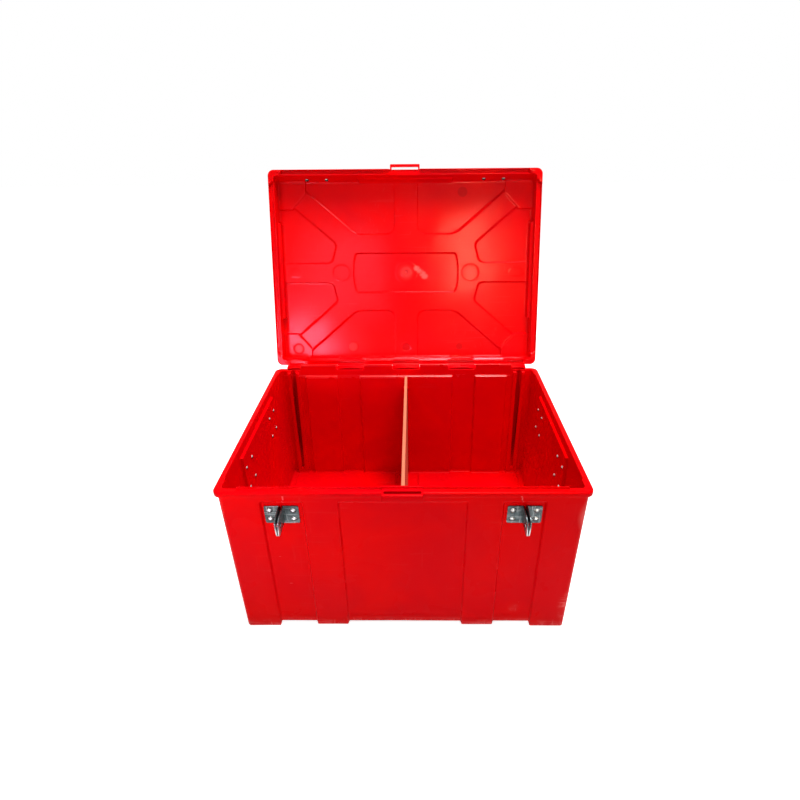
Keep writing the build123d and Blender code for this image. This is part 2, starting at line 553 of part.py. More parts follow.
with BuildPart() as lid_shell:
    lid_block(LID_Z, LID_MOUTH, LID_TOP, LID_CREST)
    fillet(lid_shell.edges().group_by(Axis.Z)[-1], 5.0)
    prism(LID_Z, 0, LID_Z + RIM_T, 0)
    prism(LID_Z + RIM_T, 0, LID_Z + RIM_T + 3, LID_WALL + 1)
    lid_block(LID_Z - 0.001, LID_INSIDE, PANEL_IN_Z, LID_FOOT, mode=Mode.SUBTRACT)
    # inner side of the wall panels
    for side, panels in LID_WALL_PANELS.items():
        inner = side_plane(side, LID_CAVITY, (LID_CAVITY - LID_FOOT[side]) / LID_DEEP, LID_Z)
        for x0, x1 in panels:
            slab(inner, x0 - RISER, x1 + RISER, LID_PANEL_UP - 3, LID_DEEP + 1, 1, -LID_PANEL_DEEP[side], Mode.ADD)
    # relief inside: beams, corner pads and two discs
    relief_low, relief_high = -HALF_D + LID_FOOT["front"] - 2, HALF_D - LID_FOOT["back"] + 2
    with BuildSketch(Plane.XY.offset(PANEL_IN_Z - BEAM_H)):
        with Locations((0, RELIEF_Y)):
            add(beams_inside)
        with Locations((0, (relief_low + relief_high) / 2)):
            Rectangle(RIM_W - 2 * LID_FOOT["left"] + 4, relief_high - relief_low, mode=Mode.INTERSECT)
    extrude(amount=BEAM_H + 0.5)
    with BuildSketch(Plane.XY.offset(PANEL_IN_Z - CORNER_PAD_H)):
        with BuildSketch(mode=Mode.PRIVATE) as pad:
            Polygon((226, 203), (226, 176.5), (257, 143), (288.5, 143), (288.5, 192), (277, 203), align=None)
            mirror(about=Plane.XZ)
            mirror(about=Plane.YZ)
        with Locations((0, RELIEF_Y)):
            add(pad.sketch)
    extrude(amount=CORNER_PAD_H + 0.5)
    with BuildSketch(Plane.XY.offset(PANEL_IN_Z - BEAM_H - 0.8)):
        with Locations((-150, RELIEF_Y), (150, RELIEF_Y)):
            Circle(19.5)
    extrude(amount=BEAM_H)
    # relief outside
    with BuildSketch(Plane.XY.offset(LID_TOP - BEAM_H)):
        with Locations((0, RELIEF_Y)):
            add(beams_outside)
    extrude(amount=BEAM_H + 1, mode=Mode.SUBTRACT)
    for side, panels in LID_WALL_PANELS.items():
        for x0, x1 in panels:
            slab(lid_plane(side), x0, x1, LID_PANEL_UP, LID_DEEP + LID_T + 3,
                 4, -LID_PANEL_DEEP[side], Mode.SUBTRACT)
    # tie loop, with its slot, and the notch over the tub's saddle
    block(-LOOP_W / 2, LOOP_W / 2, -HALF_D - LOOP_OUT, -HALF_D + 2, LID_Z + SADDLE_H, LID_Z + RIM_T + 4)
    block(-LOOP_W / 2 - 1.5, LOOP_W / 2 + 1.5, -HALF_D - 1, -HALF_D + CAVITY_TOP + 1.5,
          LID_Z - 1, LID_Z + SADDLE_H, Mode.SUBTRACT)
    block(-LOOP_W / 2 + 3.5, LOOP_W / 2 - 3.5, -slot_out, -HALF_D + SLOT_IN, LID_Z, LID_Z + 20, Mode.SUBTRACT)
    # knuckles on the back rim
    for x0, x1 in LID_KNUCKLES:
        rod_x(x0, x1, HINGE_Y, HINGE_Z, KNUCKLE_R)
        block(x0, x1, HALF_D - 4, HINGE_Y, LID_Z, LID_Z + 4.5)
    rod_x(-HALF_W, HALF_W, HINGE_Y, HINGE_Z, PIN_R + RUNNING, Mode.SUBTRACT)
    # rivet holes, each with a flat inside for the rivet's tail
    for place in hasp_rivet_places(-1) + hasp_rivet_places(1):
        with Locations(place):
            Hole(HOLE_R, depth=10.0)
        with Locations(place * Location((0, 0, -STAPLE_T - HASP_CLAMP - FLAT_REACH / 2))):
            Cylinder(FLAT_R, FLAT_REACH, mode=Mode.SUBTRACT)
save(lid_shell, "lid_shell", opened=True)


# ---------------------------------------------------------------- hasps
PLATE_W, PLATE_LOW, PLATE_HIGH = 62.0, 13.0, 44.0      # hasp plate: width, and its ends above the lid's mouth
EYE_HALF, PLATE_EYE_END = 9.7, 17.0                    # the strap's knuckle, and the plate's outside it


def hasp_plate(x):
    """Riveted hinge leaf with a knuckle on each side of the strap's."""
    face = lid_plane("front")
    with BuildPart() as piece:
        for x0, x1 in ((x - PLATE_EYE_END, x - EYE_HALF - 0.3), (x + EYE_HALF + 0.3, x + PLATE_EYE_END)):
            rod_x(x0, x1, HASP_Y, HASP_Z, HASP_KNUCKLE_R)
            block(x0, x1, HASP_Y, HASP_Y + 8, HASP_Z - HASP_KNUCKLE_R, HASP_Z - HASP_KNUCKLE_R + 3)
        slab(face, x - PLATE_W, x + PLATE_W, 0, 60, -20, 0.05, Mode.SUBTRACT)
        with BuildSketch(face.offset(0.05)):
            with Locations((x, (PLATE_LOW + PLATE_HIGH) / 2)):
                RectangleRounded(PLATE_W, PLATE_HIGH - PLATE_LOW, 4.0)
        extrude(amount=STAPLE_T - 0.05)
        rod_x(x - 20, x + 20, HASP_Y, HASP_Z, HASP_PIN_R + RUNNING, Mode.SUBTRACT)
        for place in hasp_rivet_places(-1) + hasp_rivet_places(1):
            with Locations(place):
                Hole(HOLE_R, depth=8.0)
    return piece


def hasp_strap(x, slot_x):
    """Slotted strap, folded back over the lid: its leaf is tangent to its knuckle."""
    near = HASP_Y + HASP_KNUCKLE_R
    leaf_low = HASP_Z + HASP_KNUCKLE_R + 0.4
    leaf_high = HASP_Z + (HASP_Z - STRAP_END)
    slot_mid = HASP_Z + (HASP_Z - STAPLE_Z)
    with BuildPart() as piece:
        with BuildSketch(Plane.XZ.offset(-near)):
            with Locations((x, (leaf_low + leaf_high) / 2)):
                RectangleRounded(STRAP_W, leaf_high - leaf_low, 6.0)
            with Locations((x, leaf_low + 5)):
                Rectangle(STRAP_W, 10)
            with Locations((x, (HASP_Z + leaf_low + 4) / 2)):
                Rectangle(2 * EYE_HALF, leaf_low + 4 - HASP_Z)
            with Locations((slot_x, slot_mid)):
                RectangleRounded(STRAP_SLOT_W, STRAP_SLOT_H, 3.0, mode=Mode.SUBTRACT)
        extrude(amount=STRAP_T)
        rod_x(x - EYE_HALF, x + EYE_HALF, HASP_Y, HASP_Z, HASP_KNUCKLE_R)
        rod_x(x - 20, x + 20, HASP_Y, HASP_Z, HASP_PIN_R + RUNNING, Mode.SUBTRACT)
    return piece


for side_name, side_sign in (("left", -1), ("right", 1)):
    with BuildPart() as hasp_pin:
        rod_x(side_sign * HASP_X - 16.5, side_sign * HASP_X + 16.5, HASP_Y, HASP_Z, HASP_PIN_R)
    save(hasp_plate(side_sign * HASP_X), f"hasp_plate_{side_name}", opened=True)
    rivet_group(hasp_rivet_places(side_sign), STAPLE_T + HASP_CLAMP + 0.05,
                f"hasp_rivets_{side_name}", opened=True)
    save(hasp_pin, f"hasp_pin_{side_name}", opened=True)
    save(hasp_strap(side_sign * HASP_X, side_sign * STAPLE_X), f"hasp_strap_{side_name}", opened=True)
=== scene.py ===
"""Looks of the specimen transport box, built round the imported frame.

Sizes are in millimetres up to mesh_piece(), which turns them into metres. The tub and the lid are swept
shells: loops of points round the rim's rounded rectangle, each set in from the rim and at its own height.
"""
import json
from math import cos, hypot, pi, radians, sin

import bmesh
import bpy
import numpy as np
from mathutils import Matrix, Vector


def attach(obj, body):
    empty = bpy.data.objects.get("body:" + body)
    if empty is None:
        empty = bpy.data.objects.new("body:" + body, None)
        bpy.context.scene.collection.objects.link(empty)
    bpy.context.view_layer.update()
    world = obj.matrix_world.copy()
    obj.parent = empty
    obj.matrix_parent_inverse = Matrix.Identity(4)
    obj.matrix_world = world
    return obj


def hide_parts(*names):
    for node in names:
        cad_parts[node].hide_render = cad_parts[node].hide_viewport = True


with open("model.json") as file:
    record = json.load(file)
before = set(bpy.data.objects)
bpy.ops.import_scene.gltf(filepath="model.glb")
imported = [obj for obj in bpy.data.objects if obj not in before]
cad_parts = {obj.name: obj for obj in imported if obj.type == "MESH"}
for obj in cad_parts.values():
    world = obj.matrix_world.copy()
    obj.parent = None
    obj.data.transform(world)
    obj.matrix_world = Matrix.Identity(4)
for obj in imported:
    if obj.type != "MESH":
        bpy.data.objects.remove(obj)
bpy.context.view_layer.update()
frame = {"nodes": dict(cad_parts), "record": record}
scene = bpy.context.scene

# ---------------- sizes shared with the frame
HALF_W, HALF_D, BASE_H = 300.0, 217.5, 322.0
RIM_R, RIM_T = 13.0, 9.0
WALL_TOP, WALL_FOOT, WALL_END = 6.0, 15.0, 308.0    # WALL_END: where the rim's flange starts
CAVITY_TOP, CAVITY_FLOOR = 12.0, 17.8
FLOOR_Z, FLOOR_T, PAD_H = 42.0, 4.0, 4.5
PANEL_DEEP, PANEL_TOP, LEDGE_Z = 4.5, 300.0, 308.6
SKIRT_DEEP, PANEL_FOOT, BAND_FOOT = 8.5, 7.5, 4.0      # the panels and bands end above the posts' feet
LIP_OUT, LIP_X, LIP_Y = 9.7, 262.0, 183.0
BAND_IN, BAND_OUT, POST_IN, SIDE_POST_IN = 103.0, 161.0, 228.0, 106.0
GROOVE_X, GROOVE_TOP, GROOVE_FOOT, GROOVE_DEEP, GROOVE_Z = 258.0, 11.0, 6.5, 8.0, 58.0
GROOVE_PAD, GROOVE_PAD_T = 13.5, 5.0
GUIDE_IN, GUIDE_OUT, GUIDE_DEEP, GUIDE_TOP = 3.2, 6.2, 4.0, 282.0
LID_OPEN, HINGE_Y, HINGE_Z = 104.9, 224.6, 318.0
LID_Z, LID_DEEP, LID_T, LID_WALL = 322.4, 45.0, 3.5, 5.0
LID_PANEL_DEEP, LID_SIDE_DEEP, LID_PANEL_UP = 3.0, 6.0, 25.0
LID_FRONT_FOOT, LID_BACK_FOOT, LID_SIDE_FOOT = 19.5, 8.9, 11.5    # inner walls' inset at the panel
RELIEF_Y = 6.4
BEAM_H, CORNER_PAD_H = 2.2, 4.0
KNUCKLE_R, BORE_R = 6.5, 3.06
LID_KNUCKLES = [(-275.0, -240.6), (-158.6, -96.4), (-30.9, 30.9), (96.4, 158.6), (240.6, 275.0)]
BASE_KNUCKLES = [(-239.8, -159.4), (-95.6, -31.7), (31.7, 95.6), (159.4, 239.8)]
LOOP_HALF, LOOP_OUT, LOOP_BAR, LOOP_SIDE, SLOT_IN = 32.5, 10.5, 6.2, 3.5, 1.0
SADDLE_H, SADDLE_FRONT_H, SADDLE_DROP = 6.0, 3.5, 10.5
STOP_Y0, STOP_Y1, STOP_Z = 230.5, 236.0, 321.8
TAB_Z = 336.5            # top of the flat tabs that hide the tub's knuckles from inside
KNUCKLE_GROW = 0.3       # the drawn knuckles stand closer to each other than the frame's
STAPLE_X, STAPLE_Z, STAPLE_HALF, STAPLE_H, STAPLE_T = 196.0, 270.0, 28.0, 35.5, 2.0
LEAF_T, LEAF_GAP, LEAF_ROOT, LEAF_TIP, PADLOCK_Y, PADLOCK_R = 1.9, 4.2, -206.0, -242.5, -230.0, 5.0
TAIL_X, TAIL_Y, TAIL_Z, TAIL_APART = 198.0, -200.6, 354.4, 22.0     # hasp rivets' tails, with the lid shut
RIB_HALF, RIB_FOOT, RIB_X, RIB_Y = 1.75, 33.0, 278.0, 196.0         # ribs under the floor
FLARE_TOP, FLARE_MORE = 1.9, 3.6     # how far the corner posts stand out at the sides, and more by their feet

PANEL_IN_Z = LID_Z + LID_DEEP
LID_TOP = PANEL_IN_Z + LID_T
UNDER_Z = FLOOR_Z - FLOOR_T
FRONT, RIGHT, BACK, LEFT, CORNER = range(5)


# ---------------- soft steps
def smooth(t):
    t = np.clip(t, 0.0, 1.0)
    return t * t * t * (t * (6 * t - 15) + 10)


def rise(v, edge, width):
    """0 below the edge and 1 above it, over a soft step."""
    return smooth((v - edge) / width + 0.5)


def band(v, low, high, width):
    """1 between low and high, with soft edges."""
    return rise(v, low, width) * (1 - rise(v, high, width))


def ripple(a, b, seed):
    """Gentle unevenness of a moulded wall, about 1 either way, for two coordinates in millimetres."""
    rng = np.random.default_rng(seed)
    total = np.zeros(np.broadcast(a, b).shape)
    for wave in (190.0, 130.0, 85.0, 60.0):
        angle, phase = rng.uniform(0, 2 * pi, 2)
        total += np.sin((a * cos(angle) + b * sin(angle)) * 2 * pi / wave + phase) * wave / 400
    return total


# ---------------- meshes
def open_point(x, y, z):
    """Where a point of the shut lid stands when the lid is open, as it is in the frame."""
    turn, dy, dz = radians(-LID_OPEN), y - HINGE_Y, z - HINGE_Z
    return x, HINGE_Y + dy * cos(turn) - dz * sin(turn), HINGE_Z + dy * sin(turn) + dz * cos(turn)


def mesh_piece(name, points, faces, opened=False):
    """Object from points in millimetres, smooth except at sharp edges. opened turns it with the lid."""
    points = np.asarray(points, float).reshape(-1, 3)
    if opened:
        points = np.column_stack(open_point(*points.T))
    mesh = bpy.data.meshes.new(name)
    mesh.from_pydata((points / 1000).tolist(), [], faces)
    bm = bmesh.new()
    bm.from_mesh(mesh)
    bmesh.ops.remove_doubles(bm, verts=bm.verts, dist=1e-6)
    bmesh.ops.recalc_face_normals(bm, faces=bm.faces)
    bm.to_mesh(mesh)
    bm.free()
    obj = bpy.data.objects.new(name, mesh)
    scene.collection.objects.link(obj)
    mesh.shade_smooth()
    mesh.set_sharp_from_angle(angle=radians(35))
    return obj


def bevel(obj, width, segments=3, angle=30.0):
    """Rounds the hard edges of a piece, width in millimetres."""
    made = obj.modifiers.new("rounded", "BEVEL")
    made.width, made.segments, made.limit_method = width / 1000, segments, "ANGLE"
    made.angle_limit = radians(angle)
    made.harden_normals = True
    return obj


def span(low, high, step):
    return np.linspace(low, high, max(2, int(round(abs(high - low) / step)) + 1))


def samples(half, step, edges, widths):
    """Coordinates from -half to half: an even spread, and close ones across each edge and its mirror."""
    found = list(span(-half, half, step))
    for edge, width in zip(edges, widths):
        for part in (-0.5, -0.32, -0.18, -0.06, 0.06, 0.18, 0.32, 0.5):
            found += [edge + part * width, -edge - part * width]
    found = np.unique(np.round(np.clip(found, -half, half), 3))
    keep = [found[0]]
    for value in found[1:-1]:
        if value - keep[-1] > 0.12:
            keep.append(value)
    return np.array(keep + [found[-1]])


class Path:
    """Stations round the rim. Long sides are sampled at xs, short ones at ys, and each corner has an arc."""

    def __init__(self, xs, ys):
        kinds, along, phi = [], [], []
        arcs = np.linspace(0, pi / 2, 11)[1:-1]
        sides = (FRONT, xs, -pi / 2), (RIGHT, ys, 0), (BACK, -xs, pi / 2), (LEFT, -ys, pi)
        for kind, coords, start in sides:
            kinds += [kind] * len(coords) + [CORNER] * len(arcs)
            along += list(coords) + [0.0] * len(arcs)
            phi += [0.0] * len(coords) + list(start + arcs)
        self.kind, self.along, self.phi = np.array(kinds), np.array(along), np.array(phi)
        self.count = len(kinds)
        self.front, self.back, self.corner = self.kind == FRONT, self.kind == BACK, self.kind == CORNER
        self.long, self.short = self.front | self.back, (self.kind == LEFT) | (self.kind == RIGHT)
        # a coordinate for soft steps: far outside every panel at the corners
        self.x = np.where(self.long, self.along, 1e4)
        self.y = np.where(self.short, self.along, 1e4)

    def points(self, inset, z, shift=0.0):
        """Points set in from the rim by inset, at height z, moved along a long side by shift."""
        inset = np.broadcast_to(inset, self.count).astype(float)
        r = np.maximum(RIM_R - inset / 2, 4.0)
        ex, ey = HALF_W - inset - r, HALF_D - inset - r

        def squeezed(end, full, hold):
            hold = np.clip(end - 3.5, 0.0, hold)
            a = np.abs(self.along)
            beyond = hold + (a - hold) * (end - hold) / (full - hold)
            return np.sign(self.along) * np.where(a <= hold, a, beyond)

        along_x = squeezed(ex, HALF_W - RIM_R, 274.0) + shift
        along_y = squeezed(ey, HALF_D - RIM_R, 190.0)
        corner_x, corner_y = np.cos(self.phi), np.sin(self.phi)
        sign_x, sign_y = np.where(corner_x > 0, 1, -1), np.where(corner_y > 0, 1, -1)
        x = np.select([self.long, self.kind == RIGHT, self.kind == LEFT],
                      [along_x, HALF_W - inset, inset - HALF_W], sign_x * ex + r * corner_x)
        y = np.select([self.front, self.back, self.short],
                      [inset - HALF_D, HALF_D - inset, along_y], sign_y * ey + r * corner_y)
        return np.column_stack((x, y, np.broadcast_to(z, self.count)))


def swept(loops, closed):
    """Points and quads of loops of stations. closed joins the last loop to the first."""
    rows, count = len(loops), len(loops[0])
    faces = []
    for j in range(rows if closed else rows - 1):
        a, b = j * count, ((j + 1) % rows) * count
        for i in range(count):
            k = (i + 1) % count
            faces.append((a + i, a + k, b + k, b + i))
    return np.vstack(loops), faces


def slit_cap(path, offset):
    """Faces that close a loop which has shrunk to a narrow slot along X."""
    front = np.flatnonzero(path.front)
    back = np.flatnonzero(path.back)[::-1]
    faces = [(offset + front[i], offset + front[i + 1], offset + back[i + 1], offset + back[i])
             for i in range(len(front) - 1)]
    right = list(range(front[-1], back[-1] + 1))
    left = list(range(back[0], path.count)) + [front[0]]
    return faces + [[offset + i for i in right], [offset + i for i in left]]


# ---------------- tub
LONG_PANELS = [(-POST_IN, -BAND_OUT), (-BAND_IN, BAND_IN), (BAND_OUT, POST_IN)]
SHORT_PANELS = [(-SIDE_POST_IN, SIDE_POST_IN)]
STEP_W, LIP_END, GROW = 4.0, 3.0, 3.0         # GROW: how much further a panel reaches on the inside
PANEL_EDGES = [(x, 5) for x in (BAND_IN, BAND_IN + GROW, BAND_OUT - GROW, BAND_OUT, POST_IN - GROW, POST_IN)]


def panels(path, long_panels, short_panels, grow):
    """1 on a path's set-in panels and 0 on its posts and bands."""
    total = np.zeros(path.count)
    for low, high in long_panels:
        total += band(path.x, low - grow, high + grow, STEP_W) * path.long
    for low, high in short_panels:
        total += band(path.y, low - grow, high + grow, STEP_W) * path.short
    return total


def post_face(z):
    """Inset of the posts' outer face at a height."""
    return WALL_TOP + (WALL_FOOT - WALL_TOP) * (BASE_H - z) / BASE_H


def loop_slot(path):
    """Inset that clears the slot of a tie loop in the front rim."""
    half = LOOP_HALF - LOOP_SIDE
    return SLOT_IN * band(path.x, -half, half, 1.0) * path.front


def tub_shell():
    """The tub: underside, skirt, outer wall, rim, lip, inner wall and floor, as one closed mesh."""
    groove, pad = GROOVE_TOP / 2, GROOVE_PAD
    edges = PANEL_EDGES + [(LIP_X, LIP_END), (GUIDE_IN, 0.9), (GUIDE_OUT, 0.9), (GROOVE_X - pad, 2.5),
                           (GROOVE_X + pad, 2.5), (GROOVE_X - groove, 0.9), (GROOVE_X + groove, 0.9), (27, 6),
                           (LOOP_HALF - LOOP_SIDE, 1)]
    for low, high in LID_KNUCKLES[2:]:
        edges += [(high - 1.5, 1.2)] + ([(low + 1.5, 1.2)] if low > 0 else [])
    xs = samples(HALF_W - RIM_R, 7.0, *zip(*edges))
    ys = samples(HALF_D - RIM_R, 8.0, (SIDE_POST_IN, SIDE_POST_IN + GROW, LIP_Y), (5, 5, LIP_END))
    path = Path(xs, ys)
    outside = panels(path, LONG_PANELS, SHORT_PANELS, 0)
    inside = panels(path, LONG_PANELS, SHORT_PANELS, GROW)
    bands = band(np.abs(path.x), BAND_IN, BAND_OUT, STEP_W) * path.long
    foot = PANEL_FOOT * outside + BAND_FOOT * bands
    lip = 1 - np.where(path.long, rise(np.abs(path.x), LIP_X, LIP_END), rise(np.abs(path.y), LIP_Y, LIP_END))
    lip = np.where(path.corner, 0, lip)
    notch = np.zeros(path.count)
    for low, high in LID_KNUCKLES:
        notch += band(path.x, low + 1.5, high - 1.5, 1.0) * path.back
    slot = loop_slot(path)
    side_shift = np.where(path.front, 0, 700) + np.where(path.kind == RIGHT, 350, 0)
    around = np.where(path.long, path.x, path.y) * ~path.corner + side_shift

    def outer(z):
        """Inset of the outer wall at a height."""
        wall = post_face(z) + PANEL_DEEP * outside * (1 - rise(z, PANEL_TOP - 3, 7))
        bow = ~path.corner * np.clip((BASE_H - z) / 60, 0, 1)
        return wall + 0.25 * bow * ripple(around, z, 3)

    def inner(z):
        """Inset of the inner wall at a height."""
        wall = CAVITY_TOP + (CAVITY_FLOOR - CAVITY_TOP) * (BASE_H - z) / (BASE_H - FLOOR_Z)
        wall = wall + PANEL_DEEP * inside * (1 - rise(z, LEDGE_Z, 2.5))
        bow = ~path.corner * (np.abs(path.x) < 240) * np.clip((BASE_H - z) / 60, 0, 1)
        wall = wall + 0.2 * bow * ripple(around, z, 8)
        off = np.abs(path.x) - GROOVE_X
        wall = wall + GROOVE_PAD_T * band(off, -pad, pad, 2) * (1 - rise(z, BASE_H - 4, 3))
        cut = band(off, -groove, groove, 0.7) * rise(z, GROOVE_Z, 1.5) * (1 - rise(z, BASE_H - 2, 2))
        wall = wall - GROOVE_DEEP * cut
        guides = band(np.abs(path.x), GUIDE_IN, GUIDE_OUT, 0.6) * (1 - rise(z, GUIDE_TOP, 2.0))
        return wall + GUIDE_DEEP * guides

    def flared(inset, z, share=1.0):
        """Loop of the outer wall, whose corner posts stand out at the sides, more so towards their feet."""
        made = path.points(inset, z)
        x, up = np.abs(made[:, 0]), made[:, 2]
        panel = panels(path, [], SHORT_PANELS, GROW) * (1 - rise(up, PANEL_TOP - 3, 7))
        reach = np.where(path.long, smooth((x - POST_IN + 2) / 60), 1 - panel)
        made[:, 0] += np.sign(made[:, 0]) * share * reach * (FLARE_TOP + FLARE_MORE * (BASE_H - up) / BASE_H)
        return made

    def groove_shift(z):
        """The groove narrows towards its foot, so its stations move towards its middle."""
        off = np.abs(path.x) - GROOVE_X
        share = (BASE_H - z) / (BASE_H - GROOVE_Z)
        pull = (GROOVE_TOP - GROOVE_FOOT) / 2 * np.clip(share, 0, 1)
        reach = np.clip(np.abs(off) / groove, 0, 1) * (1 - np.clip((np.abs(off) - groove - 1) / 6, 0, 1))
        return np.where(path.long, -np.sign(off) * np.sign(path.x) * pull * reach, 0)

    # underside, from the middle outwards, then down inside the skirt
    skirt = WALL_FOOT + SKIRT_DEEP
    loops = [path.points(inset, UNDER_Z) for inset in (HALF_D - 4, 150, 80, skirt + 6, skirt + 2.2)]
    loops += [path.points(skirt + out, z) for out, z in (
        (0.8, UNDER_Z - 0.6), (0, UNDER_Z - 2), (0, foot + 1.2), (-0.3, foot + 0.35), (-1, foot))]
    # outer wall
    loops += [flared(outer(foot) + out, foot + up) for out, up in ((2, 0), (1, 0.25), (0.3, 0.95))]
    levels = np.concatenate((span(2, 292, 12), np.arange(292.6, 303, 0.9), [304, 306, WALL_END]))
    for level in levels:
        z = foot + 2 + (level - 2) * (WALL_END - foot - 2) / (WALL_END - 2)
        loops.append(flared(outer(z), z))
    # rim flange, cut back where the lid's knuckles turn
    at_rim = outer(BASE_H - RIM_T - 3)
    for out, z in ((0.97, 309.5), (0.8, 310.8), (0.5, 312.0), (0.2, 312.7), (0.05, 313.4), (0.0, 314.6),
                   (0.0, 319.4), (0.02, 320.4), (0.09, 321.2), (0.22, 321.75), (0.42, 322.0)):
        inset = at_rim * out
        loops.append(flared(np.maximum(inset + (8.8 - inset) * notch, slot), z, out * (z < 314)))
    for inset, z in ((6.3, 0), (8.9, 0), (9.4, 0.12), (LIP_OUT, 0.6), (9.78, 2.6), (10.0, 3.5), (10.45, 3.95),
                     (10.9, 4.0), (11.35, 3.9), (11.75, 3.4), (11.95, 2.6)):
        cut_back = inset + np.maximum(8.85 - inset, 0) * notch
        loops.append(path.points(cut_back, BASE_H + z * lip * (1 - 0.5 * notch)))
    # inner wall
    for z in np.concatenate(([321.6, 320.6, 319.6, 318.6, 317.4, 316, 313, 311],
                             np.arange(309.8, 306.4, -0.6), [304, 302, 296, 290, 284.5],
                             np.arange(283.6, 280, -0.7), span(276, 68, 13),
                             [61, 59, 58.4, 57.8, 57, 53, 50, 48, 46.6])):
        loops.append(path.points(inner(z), z, groove_shift(z)))
    # floor, with a raised pad in each compartment
    edge = inner(FLOOR_Z)
    loops += [path.points(edge + fillet, z, groove_shift(z)) for fillet, z in (
        (0.2, 45.4), (0.7, 44.2), (1.6, 43.2), (2.8, 42.5), (4.2, FLOOR_Z))]
    for inset in (28.5, 29.6, 30.6, 31.6, 32.6, 34.5, 40, 60, 90, 120, 150, 180, 195, HALF_D - 4):
        at = path.points(np.maximum(edge + 4.5, inset), FLOOR_Z)
        x, y = np.abs(at[:, 0]), np.abs(at[:, 1])
        raised = rise(x, 27, 6) * (1 - rise(x, HALF_W - 30.6, 3.5)) * (1 - rise(y, HALF_D - 30.6, 3.5))
        at[:, 2] += PAD_H * raised + 0.25 * ripple(at[:, 0], at[:, 1], 5) * raised
        loops.append(at)
    points, faces = swept(loops, closed=False)
    faces += slit_cap(path, 0) + slit_cap(path, (len(loops) - 1) * path.count)
    return mesh_piece("tub_shell", points, faces)


# ---------------- lid
# where the mouth's corner blocks start, and the inset of its ridge's inner edge
BLOCK_X, BLOCK_Y, RIDGE_IN = 271.0, 188.0, 12.2


def lid_wall_panels(path, grow):
    """Depth of the set-in panels in the lid's walls."""
    front = panels(path, LONG_PANELS[1:2], [], grow) * path.front
    back = panels(path, LONG_PANELS, [], grow) * path.back
    depth = np.where(path.short, LID_SIDE_DEEP, LID_PANEL_DEEP)
    return (front + back + panels(path, [], SHORT_PANELS, grow)) * depth


